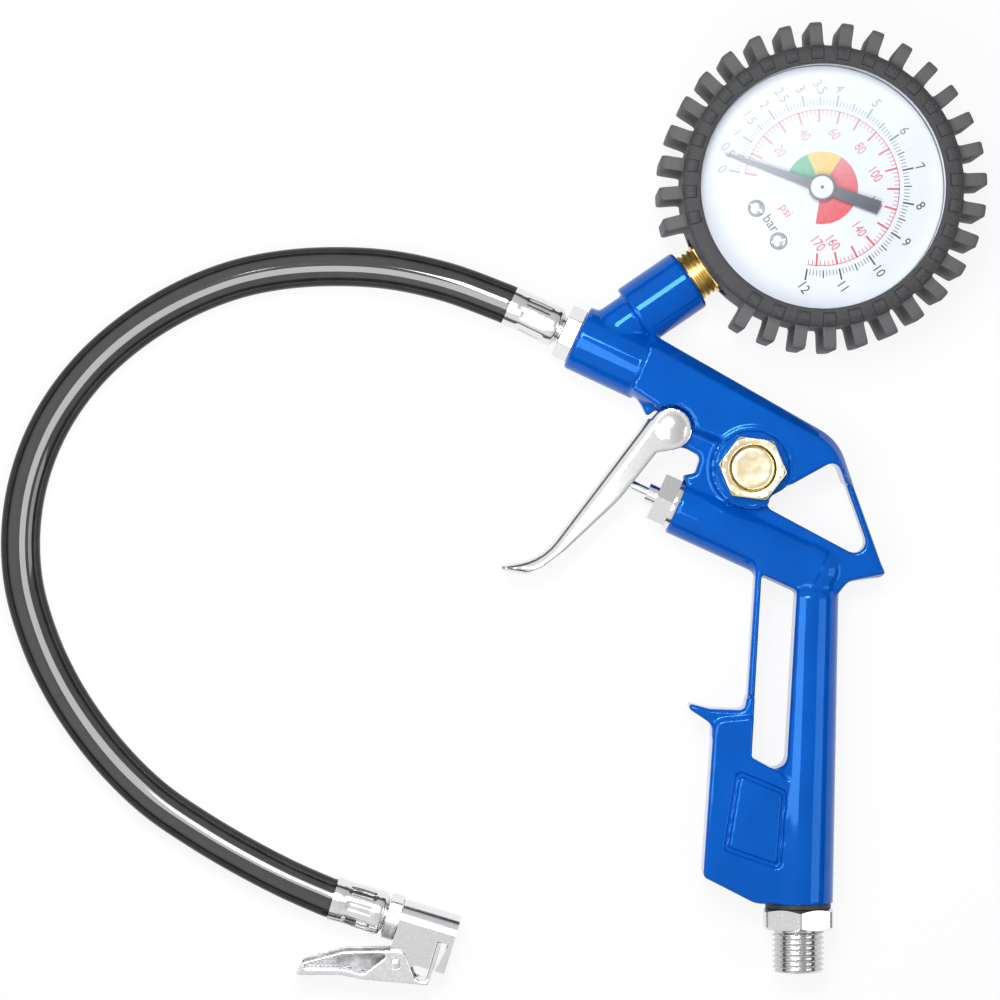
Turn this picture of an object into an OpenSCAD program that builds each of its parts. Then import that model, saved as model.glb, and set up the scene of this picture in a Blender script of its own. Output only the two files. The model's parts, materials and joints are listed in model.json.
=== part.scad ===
// Tyre inflator with dial gauge: a trigger gun on an air line, with a short hose and a clip-on chuck.
// It lies on its side on a table at Z = 0. X and Y lie along the table, Z points up.
// Drawing point [0, 0] is the centre of the outlet barrel's front face, in the gun's mid-plane.

/* [Casting] */
// Outer diameter of the outlet barrel
barrel_d = 16.6; // [15.6:0.1:17.6]
// Thickness of the upper body across its flanks
body_t = 17.2; // [15.6:0.2:18]
// Thickness of the web between the upper body and the valve barrel
web_t = 9.2; // [7.6:0.2:9.8]
// Thickness of the grip across its flanks
grip_t = 12.8; // [12:0.2:14]
// Thickness of the block at the grip's foot
foot_t = 15.2; // [14.4:0.2:16.4]
// Radius of the rounding along the cast edges
cast_edge = 2.6; // [1.6:0.1:3]
// Diameter of the round boss that carries the bleed valve
boss_d = 20.4; // [19.6:0.1:21.2]
// Depth of the frame pressed into the grip's flanks
frame_depth = 0.6; // [0.3:0.1:1.2]

/* [Gauge branch] */
// Outer diameter of the branch's threaded end
branch_d = 16; // [15.4:0.1:17]
// Length of the threaded end
branch_end_len = 16.4; // [14:0.2:20]
// Outer diameter of the branch's neck
branch_neck_d = 12.4; // [9:0.2:14]
// Diameter of the gauge's thread
gauge_thread_d = 13.157; // [12:0.1:13.4]

/* [Valve] */
// Outer diameter of the valve barrel at its face
valve_barrel_d = 14.6; // [13.8:0.1:16]
// Diameter of the valve's bore
valve_bore_d = 10.4; // [9.6:0.1:11.4]
// Diameter of the rod that the trigger pushes
rod_d = 2.4; // [1.8:0.1:2.8]
// Width across the flats of the gland
gland_af = 12; // [11:0.5:13]
// Travel of the rod
rod_travel = 4; // [3:0.1:4.4]

/* [Trigger] */
// Width of the trigger across its cheeks
trigger_w = 12.8; // [11.6:0.2:14]
// Wall of the trigger's channel
trigger_wall = 1.3; // [0.9:0.1:1.6]
// Radius of the trigger's round head
trigger_head_r = 5.3; // [5:0.1:5.6]
// Diameter of the trigger's pin
pin_d = 4; // [3:0.2:4.6]

/* [Bleed valve] */
// Width across the flats of the brass nut
bleed_af = 14.8; // [13.8:0.1:16]
// Diameter of the bleed button
button_d = 10.6; // [9:0.1:11]
// Travel of the bleed button
button_travel = 1.5; // [1:0.1:1.8]

/* [Inlet] */
// Outer diameter of the inlet thread
inlet_d = 13.157; // [12.4:0.1:13.6]
// Length of the inlet thread
inlet_len = 10.8; // [8:0.1:16]
// Width across the flats of the inlet's hexagon
inlet_af = 17; // [17:0.5:19]
// Height of the inlet's hexagon
inlet_hex_h = 5.3; // [3:0.1:8]

/* [Gauge] */
// Diameter of the gauge's case
case_d = 63; // [60:0.5:66]
// Depth of the gauge's case
case_h = 27; // [26:0.5:34]
// Wall of the case
case_wall = 0.8; // [0.5:0.1:1.2]
// How far the boot's lip reaches in over the case
boot_lip = 1.4; // [1.2:0.1:3.2]
// Length of the gauge's stem between the branch and the case
stem_free = 7.4; // [6.6:0.1:12]
// Thickness of the window
lens_t = 1.6; // [1:0.1:2.4]
// Gap between the dial's plate and the case's wall
dial_gap = 1.2; // [0.4:0.1:3]

/* [Boot] */
// Wall of the rubber boot around the case
boot_wall = 3.1; // [2:0.1:4]
// Thickness of the boot's back
boot_back = 1.8; // [1.8:0.1:2.4]
// Height of a tooth above the boot's wall
tooth_h = 5.8; // [3:0.1:9]
// Width of a tooth
tooth_w = 3.2; // [2:0.1:4.4]
// Number of tooth places around the boot
tooth_places = 32; // [16:1:36]

/* [Hose] */
// Outer diameter of the hose
hose_d = 9.9; // [9:0.1:10.1]
// Inner diameter of the hose
hose_bore = 5.3; // [4.8:0.1:5.6]
// Length of a ferrule
ferrule_len = 13.9; // [11:0.1:16]
// Outer diameter of the gun's ferrule
gun_ferrule_d = 10.2; // [9.9:0.1:11]
// Outer diameter of the chuck's ferrule
chuck_ferrule_d = 11.1; // [10.4:0.1:12]
// Width across the flats of the hose fitting's hexagon
fitting_af = 12; // [11:0.5:14]

/* [Chuck] */
// Diameter of the chuck's mouth
mouth_d = 8.2; // [7.8:0.1:8.6]
// Width of the chuck's body
chuck_w = 10.4; // [10:0.1:11.4]
// Length of the chuck's body
chuck_len = 14.6; // [14:0.1:18]
// Sheet thickness of the clip lever
lever_t = 1; // [0.8:0.1:1.1]
// Diameter of the clip lever's rivet
rivet_d = 1.8; // [1.4:0.1:2.4]

/* [Hidden] */
$fn = 64;

// Clearances
fit = 0.05;      // radial clearance of threads and running fits
seat = 0.1;      // gap between pieces that rest on each other
free = 0.3;      // gap between pieces that only pass each other
through = 1;     // how far a cut runs past the solid

// Directions, in degrees from +X
barrel_fall = 25;    // the outlet barrel's axis falls to the right
valve_fall = 24.5;   // so does the valve barrel's
gauge_angle = 34.3;  // the gauge branch rises to the right
chuck_fall = 17;     // the chuck's axis falls to the right
barrel_in = [cos(barrel_fall), -sin(barrel_fall)];
valve_in = [cos(valve_fall), -sin(valve_fall)];
branch_out = [cos(gauge_angle), sin(gauge_angle)];

// Main points in the gun's mid-plane
outlet = [0, 0];
branch_from = 4.5 * barrel_in;
branch_len = 29;
branch_face = branch_from + branch_len * branch_out;
gauge_reach = case_d / 2 + stem_free;
gauge_at = branch_face + gauge_reach * branch_out;
valve_face = [25, -42.1];
pivot = [23.25, -23];
boss_at = [43.3, -32.9];
inlet_at = [55.25, -141.3];

// Heights above the table
mid_z = inlet_af / 2 / cos(30);
half_body = body_t / 2;
half_web = web_t / 2;
half_grip = grip_t / 2;
half_foot = foot_t / 2;

// Outlet
outlet_thread_d = 9.73;
outlet_bore_d = 6;
outlet_thread_len = 9;
outlet_bore_len = 46;
barrel_back = 19;

// Air tube along the grip's back
air_tube_d = inlet_d + 4.3;
air_tube_top = [58.2, -66];
air_tube_top_d = 14.6;

// Threaded holes for the gauge and the inlet
socket_depth = 12;
nipple_in = 11;
nipple_bore_d = 7;

// Sizes of the valve
valve_barrel_len = 39;
valve_barrel_taper = 0.7;
valve_bore_len = 38;
flange_t = 1.3;
gland_hex_h = 4.4;
collar_h = 2.5;
collar_d = 5;
gland_room = 12;     // the web is cut back this far in front of the gland
cartridge_len = 16;
cartridge_bore_d = 6;
valve_seat_d = 5;
port_d = 3;
poppet_d = 8.4;
poppet_h = 2.6;
seal_t = 1.3;
valve_wire = 0.9;
passage_d = 4;
air_d = 4.6;

// Trigger, with its outline taken from the pivot
front_top = [-6.05, 2.5];
front_dir = [-0.606, -0.7955];
front_normal = [0.7955, -0.606];
half_trigger = trigger_w / 2;
half_channel = half_trigger - trigger_wall;
lug_r = trigger_head_r - 0.8;
pin_head_d = 7.6;
pin_head_h = 0.9;
// How far behind the valve barrel's face the trigger's inner wall crosses the rod's axis
wall_s = (trigger_wall - (valve_face - pivot - front_top) * front_normal) / (valve_in * front_normal);
rod_tip = wall_s + seat + 0.05;
// Travel of the rod for each radian of the trigger, where they touch
touch = valve_face + wall_s * valve_in - pivot;
rod_per_radian = ([-touch.y, touch.x] * front_normal) / (valve_in * front_normal);

// Bleed valve, heights from the mid-plane
spot_d = 18.6;       // spot face that the nut sits on
spot_depth = 0.6;
boss_half = half_body - spot_depth;
nut_h = 4.4;
skirt_d = 13.5;
ledge_z = boss_half - 4.4;
bleed_rod_low = ledge_z - 2;
seat_disc_t = 1;
nut_hole_d = button_d + 1;
button_top = boss_half + nut_h - 0.7;
button_low = button_top - 4.8;
cup_depth = 3.4;
bleed_rod_d = 2;
chamber_d = 9;
chamber_low = -5;

// Gauge heights
case_back = boot_back;
case_front = case_back + case_h;
window_d = case_d - 2 * boot_lip;
dial_d = case_d - 2 * (case_wall + dial_gap);
boot_top = case_front + 1.7;
lens_top = case_front - 0.6;
dial_z = case_front - 6.2;
dial_t = 0.6;
boot_turn = 2;       // the boot sits a little turned about the case
boot_r = case_d / 2 + boot_wall;
tooth_r = boot_r + tooth_h;
teeth_left_out = 3;
rib_h = 0.5;
boot_stem_gap = 0.5;
stem_square = 13;
stem_bar_d = 17;     // the square's corners keep the bar's round
block_low = 4.5 - case_d / 2; // the socket's block inside the case, along the gauge's Y
block_high = -12;
screw_at = [4.88, -16.18];
tube_pin_at = [8.54, -15.38];
stem_neck_d = 11.4;
stem_neck_len = 4.35; // round neck between the branch and the square
square_len = stem_free - stem_neck_len;
stem_thread_in = 11;  // how far the stem's thread goes into the branch
stem_bore_d = 3;
tube_meets = -15;     // where the stem's bore ends in the block, along the gauge's Y

// Movement, in the gauge's own frame with the dial's top at +Y
gear_module = 0.2;
pinion_teeth = 12;
sector_teeth = 108;
pinion_pitch_r = gear_module * pinion_teeth / 2;
sector_pitch_r = gear_module * sector_teeth / 2;
gear_centres = pinion_pitch_r + sector_pitch_r;
backlash = 0.05;
plate_low = mid_z + 4.6;
plate_t = 0.8;
plate_gap = 3.4;
plate_high = plate_low + plate_t + plate_gap;
gear_z = plate_low + plate_t + 0.5;
gear_t = 0.8;
spring_z = gear_z + gear_t + 0.5;
spindle_d = 1;
tube_r = 21;
tube_start = -65;
tube_sweep = 215;
tube_section = [3, 7.2];
tube_wall = 0.4;
tail_r = 4.5;
tail_pin_d = 1;
tip_turn = tube_start + tube_sweep;
tip_block = [4, 3.4, 8];
// The link's pin stands on the middle of the block that closes the tube
tip_at = tube_r * [cos(tip_turn), sin(tip_turn)] + (seat + tip_block.y / 2) * [-sin(tip_turn), cos(tip_turn)];
tail_at = [0, gear_centres + tail_r];
pointer_rest = 216.1;
pointer_z = dial_z + dial_t + 1;
pointer_t = 0.5;
pointer_tip = 25;
pointer_tail = 15;
cap_d = 5.9;

// Hose and chuck
fitting_hex_h = 4;
fitting_gap = 0.7;
ferrule_start = fitting_hex_h + fitting_gap;
hose_start = outlet - (ferrule_start + ferrule_len) * barrel_in;
ferrule_wall = 0.5;
barb_d = hose_bore - 2 * fit;
chuck_at = [-61.1, -140.6];
chuck_dir = [cos(chuck_fall), -sin(chuck_fall)];
chuck_from = ferrule_len + 3.6;
collar_r = 5.45;
chuck_low = -9.5;
rivet_at = [chuck_from + 2.3, -10.6];
half_chuck = chuck_w / 2;
half_lever = half_chuck + 0.2 + lever_t;
half_jaw = half_chuck - 0.7;
rivet_stand = 0.4;
chuck_z = half_lever + rivet_stand;
mouth_len = 8.6;
tail_len = 2.2;       // the tail's spigot inside the chuck's body
seal_chamber_len = 3.1;
jaw_x = chuck_from + chuck_len - 3.9;

// Route of the hose, from the gun to the chuck: [x, y] from the outlet, and how far its underside
// is off the table
hose_route = [
    [-19, 8.8, 4.8], [-32, 13.6, 4.1], [-46, 16.8, 2.7], [-60, 17.8, 1.2],
    [-74, 17, 0.3], [-87, 14.2, 0.05], [-100, 8.8, 0.05], [-112.1, 1.2, 0.05],
    [-122.8, -8.5, 0.05], [-131.4, -20.4, 0.05], [-137, -33.6, 0.05], [-139.5, -47.5, 0.05],
    [-138.9, -61.5, 0.05], [-135.2, -74.9, 0.05], [-129.7, -87, 0.05], [-122.7, -98, 0.05],
    [-114.6, -107.8, 0.1], [-105.6, -116.2, 0.2], [-95.4, -123.2, 0.5], [-84.6, -129.6, 1],
    [-73, -135.6, 1.6], [-63, -140, 1.8],
];

// The part's origin is the middle of the gun's own box, at the table
trigger_tip_x = pivot.x - 42.7;
box_middle = [
    (trigger_tip_x + gauge_at.x + tooth_r) / 2,
    (inlet_at.y - seal_t - inlet_hex_h - inlet_len + gauge_at.y + tooth_r) / 2,
];

// ---------- Outlines: a list of corners [x, y, rounding radius], counter-clockwise ----------

function xy(p) = [p.x, p.y];
function unit(v) = v / norm(v);
function turned(v) = [-v.y, v.x];
function wrap(list, i) = list[(i + len(list)) % len(list)];

// A corner moved inwards by d along both of its edges
function drawn_in(corners, i, d) =
    let (
        before = unit(xy(corners[i]) - xy(wrap(corners, i - 1))),
        after = unit(xy(wrap(corners, i + 1)) - xy(corners[i])),
        out = before.x * after.y - before.y * after.x > 0,
        shift = (turned(before) + turned(after)) / (1 + before * after)
    )
    [each xy(corners[i]) + d * shift, max(corners[i][2] + (out ? -d : d), 0.02)];

function inset(corners, d) = [for (i = [0:len(corners) - 1]) drawn_in(corners, i, d)];

// Points of the arc that rounds corner i
function corner_arc(corners, i, steps) =
    let (
        p = xy(corners[i]),
        to_before = unit(xy(wrap(corners, i - 1)) - p),
        to_after = unit(xy(wrap(corners, i + 1)) - p),
        half = acos(to_before * to_after) / 2,
        r = corners[i][2],
        centre = p + unit(to_before + to_after) * r / sin(half),
        first = p + to_before * r / tan(half) - centre,
        last = p + to_after * r / tan(half) - centre,
        a = atan2(first.y, first.x),
        b = atan2(last.y, last.x),
        sweep = (b - a > 180) ? b - a - 360 : (b - a < -180) ? b - a + 360 : b - a
    )
    [for (k = [0:steps]) centre + r * [cos(a + sweep * k / steps), sin(a + sweep * k / steps)]];

function rounded(corners, steps = 4) =
    [for (i = [0:len(corners) - 1]) each corner_arc(corners, i, steps)];

// The turn of the corner a, b, c: positive to the left
function turn(a, b, c) = (b.x - a.x) * (c.y - b.y) - (b.y - a.y) * (c.x - b.x);

// Whether corner k of the remaining outline can be cut off without another point in the triangle
function is_ear(points, ids, k) =
    let (a = points[wrap(ids, k - 1)], b = points[ids[k]], c = points[wrap(ids, k + 1)])
    turn(a, b, c) > 1e-9 && len([
        for (i = ids)
            let (p = points[i])
            if (p != a && p != b && p != c && turn(a, b, p) > 0 && turn(b, c, p) > 0 && turn(c, a, p) > 0) i
    ]) == 0;

function first_ear(points, ids, k = 0) =
    k >= len(ids) - 1 || is_ear(points, ids, k) ? k : first_ear(points, ids, k + 1);

// Triangles that fill an outline, cut off one by one
function triangles(points, ids) =
    len(ids) < 4 ? [ids]
    : let (k = first_ear(points, ids))
        [[wrap(ids, k - 1), ids[k], wrap(ids, k + 1)], each triangles(points, [for (i = [0:len(ids) - 1]) if (i != k) ids[i]])];

// A skin over rings with the same number of points, closed by flat ends. Cap holds the triangles
// of the first ring, where it isn't convex.
module skin(rings, cap = undef) {
    n = len(rings[0]);
    m = len(rings);
    ends = cap == undef ? [[for (i = [0:n - 1]) i]] : cap;
    polyhedron(
        points = [for (ring = rings) each ring],
        faces = [
            each ends,
            for (f = ends) [for (i = [len(f) - 1:-1:0]) (m - 1) * n + f[i]],
            for (j = [0:m - 2], i = [0:n - 1])
                each [
                    [j * n + i, (j + 1) * n + i, j * n + (i + 1) % n],
                    [j * n + (i + 1) % n, (j + 1) * n + i, (j + 1) * n + (i + 1) % n],
                ],
        ],
        convexity = 8
    );
}

// A cast plate about the mid-plane, whose outer edges are rounded by a quarter circle
module cast_plate(corners, half, edge, steps = 2, arc = 2) {
    levels = [
        for (k = [0:steps]) [-half + edge * (1 - cos(90 * k / steps)), edge * (1 - sin(90 * k / steps))],
        for (k = [steps:-1:0]) [half - edge * (1 - cos(90 * k / steps)), edge * (1 - sin(90 * k / steps))],
    ];
    ends = rounded(inset(corners, edge), arc);
    skin(
        [for (l = levels) [for (p = rounded(inset(corners, l[1]), arc)) [p.x, p.y, l[0]]]],
        triangles(ends, [for (i = [0:len(ends) - 1]) i])
    );
}

// A straight plate with rounded corners, between two heights
module plate(corners, low, high, steps = 4)
    translate([0, 0, low]) linear_extrude(high - low) polygon(rounded(corners, steps));

// A helix of round wire about Z, closed by flat ends
module helix(r, wire, low, high, turns, sides = 6, steps = 8) {
    rings = [
        for (k = [0:turns * steps])
            let (a = 360 * k / steps, z = low + wire / 2 + (high - low - wire) * k / turns / steps)
            [for (i = [0:sides - 1]) let (b = 360 * i / sides)
                [(r + wire / 2 * cos(b)) * cos(a), (r + wire / 2 * cos(b)) * sin(a), z + wire / 2 * sin(b)]],
    ];
    skin(rings);
}

// ---------- Placing ----------

module placed() translate([-box_middle.x, -box_middle.y, 0]) children();
module at_mid() translate([0, 0, mid_z]) children();
// Children's +Z runs along the direction, from point p in the mid-plane
module along(p, direction) translate([p.x, p.y, mid_z]) rotate([0, 90, direction]) children();
module on_outlet() along(outlet, -barrel_fall) children();
module on_fitting() along(outlet, 180 - barrel_fall) children();
module on_branch() along(branch_face, gauge_angle) children();
module on_valve() along(valve_face, -valve_fall) children();
module on_inlet() along(inlet_at, -90) children();
module on_boss() translate([boss_at.x, boss_at.y, mid_z]) children();
module in_gauge() translate([gauge_at.x, gauge_at.y, 0]) rotate([0, 0, gauge_angle - 90]) children();
module in_chuck() translate([chuck_at.x, chuck_at.y, chuck_z]) rotate([0, 0, -chuck_fall]) children();
// Children's +Z runs along the chuck's axis, from its ferrule's mouth
module along_chuck() in_chuck() rotate([0, 90, 0]) children();

module tube(r_out, r_in, low, high)
    translate([0, 0, low]) difference() {
        cylinder(r = r_out, h = high - low);
        translate([0, 0, -through]) cylinder(r = r_in, h = high - low + 2 * through);
    }

module rod(r, low, high) translate([0, 0, low]) cylinder(r = r, h = high - low);
module hexagon(af, low, high) translate([0, 0, low]) cylinder(d = af / cos(30), h = high - low, $fn = 6);

// ---------- Body ----------

spine = [
    [12.7, -13.8, 1], [27.2, -23.2, 2], [37.8, -27.8, 2], [44.3, -38, 2],
    [62, -37.5, 1], [68.8, -37.2, 1], [65, -25.8, 13], [18.6, 0.7, 1],
];
web = [
    [14, -14.2, 0.5], [16, -17.2, 1], [17.3, -19.9, 0.5], [19.3, -18.5, 2], [21.1, -17.6, 0.5], [22.5, -27, 0.5],
    [27.2, -28, 0.8], [30.7, -29.9, 1.5], [29.3, -34, 0.8], [26.4, -34.6, 0.4],
    [27.5, -40, 1], [60, -58, 1], [65.2, -63.9, 0.3], [67.6, -61.1, 3], [76.9, -59.2, 0.4],
    [75.7, -56.5, 2], [68.6, -36.6, 1], [62, -27, 2], [25, -6, 2],
];
strut_window = [[45.4, -41.3, 2], [73.55, -56.35, 2.5], [64.4, -30.75, 2.2]];
grip = [
    [44.6, -55, 3], [42.2, -92.5, 2.2], [40, -120, 3], [62, -120, 3], [65.1, -64, 1.5], [62, -58.5, 3],
];
foot = [
    [33.7, -93.3, 3], [31.2, -134.4, 3], [44.3, -141.1, 6], [63.7, -141.3, 3],
    [64.7, -100, 3], [62, -93, 3],
];
spike = [
    [42.2, -89, 1.5], [41.6, -93, 1.5], [33, -92.7, 6], [27.4, -91.2, 0.6], [28, -92.9, 1],
    [33.6, -96.6, 3], [33.4, -100, 1], [44, -104, 1], [45, -90, 1],
];
grip_slot = [[43.3, -104.7, 0.6], [51.9, -109.45, 3], [54.55, -63.1, 1.2], [45.9, -59.1, 0.6]];
frame_line = [[36.25, -127.75, 1.5], [50.5, -132.75, 1.5], [52, -113, 1.5], [39.5, -107.75, 1.5]];
frame_w = 1.2;

module outlet_barrel() on_outlet() rotate_extrude() polygon([
    [0, 0], [barrel_d / 2 - 0.9, 0], [barrel_d / 2 - 0.25, 0.3], [barrel_d / 2, 1],
    [barrel_d / 2, barrel_back], [0, barrel_back],
]);

module gauge_branch() on_branch() rotate_extrude() polygon([
    [0, -branch_len], [branch_neck_d / 2, -branch_len], [branch_neck_d / 2, -branch_end_len - 0.8],
    [branch_d / 2 - 0.5, -branch_end_len], [branch_d / 2, -branch_end_len + 0.5],
    [branch_d / 2, -0.6], [branch_d / 2 - 0.6, 0], [0, 0],
]);

module valve_barrel() on_valve() {
    dome_r = valve_barrel_d / 2 - valve_barrel_taper;
    rotate_extrude() polygon([
        [0, 0], [valve_barrel_d / 2 - 0.4, 0], [valve_barrel_d / 2, 0.4],
        for (a = [0:15:75]) [dome_r * cos(a), valve_barrel_len + dome_r * sin(a)],
        [0, valve_barrel_len + dome_r],
    ]);
}

// The round tube of the air's way, from the inlet up the grip's back
module air_tube() along(inlet_at, atan2(air_tube_top.y - inlet_at.y, air_tube_top.x - inlet_at.x))
    cylinder(d1 = air_tube_d, d2 = air_tube_top_d, h = norm(air_tube_top - inlet_at));

module engraved_frame() for (side = [0, 1]) mirror([0, 0, side])
    difference() {
        plate(frame_line, half_foot - frame_depth, half_foot + through);
        plate(inset(frame_line, frame_w), half_foot - frame_depth - through, half_foot + 2 * through);
    }

module casting_bores() {
    on_outlet() {
        rod(outlet_thread_d / 2 + fit, -through, outlet_thread_len);
        rod(outlet_bore_d / 2, 0, outlet_bore_len);
    }
    on_branch() rod(gauge_thread_d / 2 + fit, -socket_depth, through);
    passage_between(branch_face - (socket_depth - 1) * branch_out, outlet + 14 * barrel_in, stem_bore_d);
    on_valve() rod(valve_bore_d / 2 + fit, -through, valve_bore_len);
    on_valve() rod(valve_barrel_d / 2, -gland_room, 0);
    passage_between(valve_face + 10 * valve_in, boss_at, passage_d);
    passage_between(boss_at, outlet + (outlet_bore_len - 2) * barrel_in, passage_d);
    passage_between(inlet_at + [1.9, nipple_in], valve_face + (valve_bore_len - 1.6) * valve_in, air_d);
    on_inlet() {
        rod(inlet_d / 2 + fit, -socket_depth, through);
        rod(air_tube_d, 0, 3 * through);
    }
    on_boss() {
        rod(spot_d / 2, boss_half, half_body + through);
        rod(skirt_d / 2 + fit, ledge_z, boss_half + through);
        rod(chamber_d / 2, chamber_low, boss_half);
    }
    translate([pivot.x, pivot.y, mid_z]) rod(pin_d / 2 + fit, -half_body - through, half_body + through);
}

// A drilled passage between two points of the mid-plane
module passage_between(a, b, d)
    along(a, atan2(b.y - a.y, b.x - a.x)) rod(d / 2, 0, norm(b - a));

module body_casting() color("royalblue") placed() difference() {
    union() {
        difference() {
            union() {
                at_mid() cast_plate(spine, half_body, cast_edge);
                outlet_barrel();
            }
            trigger_room();
        }
        difference() {
            at_mid() union() {
                cast_plate(web, half_web, 1.2, 1);
                translate([pivot.x, pivot.y, 0]) rod(lug_r, -half_web, half_web);
            }
            at_mid() plate(strut_window, -half_web - through, half_web + through);
        }
        gauge_branch();
        valve_barrel();
        on_boss() rod(boss_d / 2, -half_body, half_body);
        difference() {
            union() {
                at_mid() cast_plate(grip, half_grip, cast_edge);
                at_mid() cast_plate(foot, half_foot, cast_edge);
                at_mid() cast_plate(spike, half_foot - 0.8, 0.7, 1);
                air_tube();
            }
            at_mid() plate(grip_slot, -half_foot - 2 * through, half_foot + 2 * through);
            at_mid() engraved_frame();
        }
    }
    at_mid() plate(strut_window, -half_body - through, half_body + through);
    casting_bores();
}

// Room for the trigger's head beside its lug
module trigger_room() translate([pivot.x, pivot.y, mid_z]) for (side = [0, 1]) mirror([0, 0, side])
    rod(trigger_head_r + 0.6, half_web, half_body + 3);

// ---------- Inlet ----------

module inlet_seal() color("dimgray") placed() on_inlet() tube(8.2, inlet_d / 2 + 0.2, seat, seal_t - seat);

module inlet_nipple() color("silver") placed() on_inlet() difference() {
    union() {
        rod(inlet_d / 2, -nipple_in, seal_t);
        hexagon(inlet_af, seal_t, seal_t + inlet_hex_h);
        rod(inlet_d / 2 - 0.7, seal_t + inlet_hex_h - fit, seal_t + inlet_hex_h + 0.6);
        rod(inlet_d / 2, seal_t + inlet_hex_h + 0.5, seal_t + inlet_hex_h + inlet_len);
    }
    rod(nipple_bore_d / 2, -nipple_in - through, seal_t + inlet_hex_h + inlet_len + through);
}

// ---------- Valve, along the valve barrel's axis from its face ----------

module valve_gland() color("gainsboro") placed() on_valve() difference() {
    union() {
        rod(valve_barrel_d / 2 - 0.5, -flange_t, -fit / 2);
        hexagon(gland_af, -flange_t - gland_hex_h, -flange_t);
        rod(collar_d / 2, -flange_t - gland_hex_h - collar_h, -flange_t - gland_hex_h + fit);
        rod(valve_bore_d / 2, -flange_t, cartridge_len);
    }
    rod(rod_d / 2 + fit, -20, cartridge_len + through);
    rod(cartridge_bore_d / 2, 6, 14);
    rod(valve_seat_d / 2, 13, cartridge_len + through);
    translate([0, 0, 10]) rotate([90, 0, 0]) rod(port_d / 2, -valve_bore_d, valve_bore_d);
    translate([0, 0, 10]) rotate([0, 90, 0]) rod(port_d / 2, -valve_bore_d, valve_bore_d);
    tube(valve_bore_d, valve_bore_d / 2 - 1.1, 12.8, 14.2);
}

module gland_seal() color("black") placed() on_valve()
    translate([0, 0, 13.5]) rotate_extrude() translate([valve_bore_d / 2 - 0.52, 0]) circle(r = 0.5, $fn = 24);

module valve_stem() color("silver") placed() on_valve() {
    rod(rod_d / 2, rod_tip + rod_d / 2, cartridge_len + seal_t + poppet_h);
    translate([0, 0, rod_tip + rod_d / 2]) sphere(d = rod_d);
}

module valve_seal() color("black") placed() on_valve()
    tube(poppet_d / 2 - 0.2, rod_d / 2 + fit, cartridge_len + seat, cartridge_len + seal_t);

module valve_poppet() color("goldenrod") placed() on_valve() difference() {
    union() {
        rod(poppet_d / 2, cartridge_len + seal_t + fit, cartridge_len + seal_t + poppet_h);
        rod(poppet_d / 2 - 2.1, cartridge_len + seal_t, cartridge_len + seal_t + poppet_h + 1.6);
    }
    rod(rod_d / 2 + fit, 0, cartridge_len + seal_t + poppet_h + fit);
}

module valve_spring() color("lightgray") placed() on_valve()
    helix(poppet_d / 2 - 1.3, valve_wire, cartridge_len + seal_t + poppet_h + seat, valve_bore_len - seat, 6);

// ---------- Trigger, from the pivot ----------

head_arc_r = trigger_head_r - 0.2;
function head_tangent(a, b) = trigger_head_r / cos((b - a) / 2) * [cos((a + b) / 2), sin((a + b) / 2)];

trigger_outline = [
    [each front_top, 0.5], [-32.4, -32.1, 14], [-42.7, -34, 0.6], [-42.1, -35.5, 0.8],
    [-36.4, -36.5, 2], [-31.8, -34.4, 6], [-26.2, -30.2, 20], [-13, -17.9, 30],
    [-3.5, -5.9 - (trigger_head_r - 5.3), 1],
    [each head_tangent(-80, 10), head_arc_r], [each head_tangent(10, 100), head_arc_r],
    [each head_tangent(100, 150), head_arc_r], [-4.7, 2.5, 0.2],
];
inner_top = front_top + trigger_wall * front_normal - 6 * front_dir;
inner_low = front_top + trigger_wall * front_normal + 36 * front_dir;
trigger_channel = [
    [each inner_top, 0.2], [each inner_low, 1.5], [each inner_low + [6, -6.5], 0.2], [18, -18, 0.2], [18, 12, 0.2],
];

module trigger() color("whitesmoke") placed() translate([pivot.x, pivot.y, mid_z]) difference() {
    cast_plate(trigger_outline, half_trigger, 0.6, 1, 3);
    plate(trigger_channel, -half_channel, half_channel);
    rod(pin_d / 2 + fit, -half_trigger - through, half_trigger + through);
}

module trigger_pin() color("silver") placed() translate([pivot.x, pivot.y, mid_z]) {
    rod(pin_d / 2, -half_trigger - seat, half_trigger + seat);
    for (side = [0, 1]) mirror([0, 0, side]) translate([0, 0, half_trigger + seat])
        cylinder(d1 = pin_head_d, d2 = pin_head_d - 1.2, h = pin_head_h);
}

// ---------- Bleed valve, from the boss, up ----------

module bleed_nut() color("gold") placed() on_boss() difference() {
    union() {
        hexagon_turned(bleed_af, boss_half + fit, boss_half + nut_h);
        rod(skirt_d / 2, ledge_z + seat_disc_t + 2 * fit, boss_half + 1);
    }
    rod(nut_hole_d / 2, ledge_z, boss_half + nut_h + through);
}

module hexagon_turned(af, low, high) rotate([0, 0, 22.4]) hexagon(af, low, high);

module bleed_seat() color("goldenrod") placed() on_boss()
    tube(skirt_d / 2 - fit, bleed_rod_d / 2 + 0.9, ledge_z + fit, ledge_z + seat_disc_t);

module bleed_button() color("khaki") placed() on_boss() {
    difference() {
        union() {
            rod(button_d / 2, button_low, button_top - 0.5);
            translate([0, 0, button_top - 0.5]) cylinder(d1 = button_d, d2 = button_d - 1, h = 0.5);
        }
        rod(button_d / 2 - 1, button_low - through, button_low + cup_depth);
    }
    rod(bleed_rod_d / 2, bleed_rod_low, button_low + cup_depth);
}

module bleed_seal() color("black") placed() on_boss()
    tube(chamber_d / 2 - 1, bleed_rod_d / 2 + fit / 2, bleed_rod_low, ledge_z - seat);

module bleed_spring() color("lightgray") placed() on_boss()
    helix(button_d / 2 - 1.8, 0.5, ledge_z + seat_disc_t + seat, button_low + cup_depth - seat, 3);

// ---------- Gauge, with the dial's top at +Y and heights from the table ----------

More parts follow.
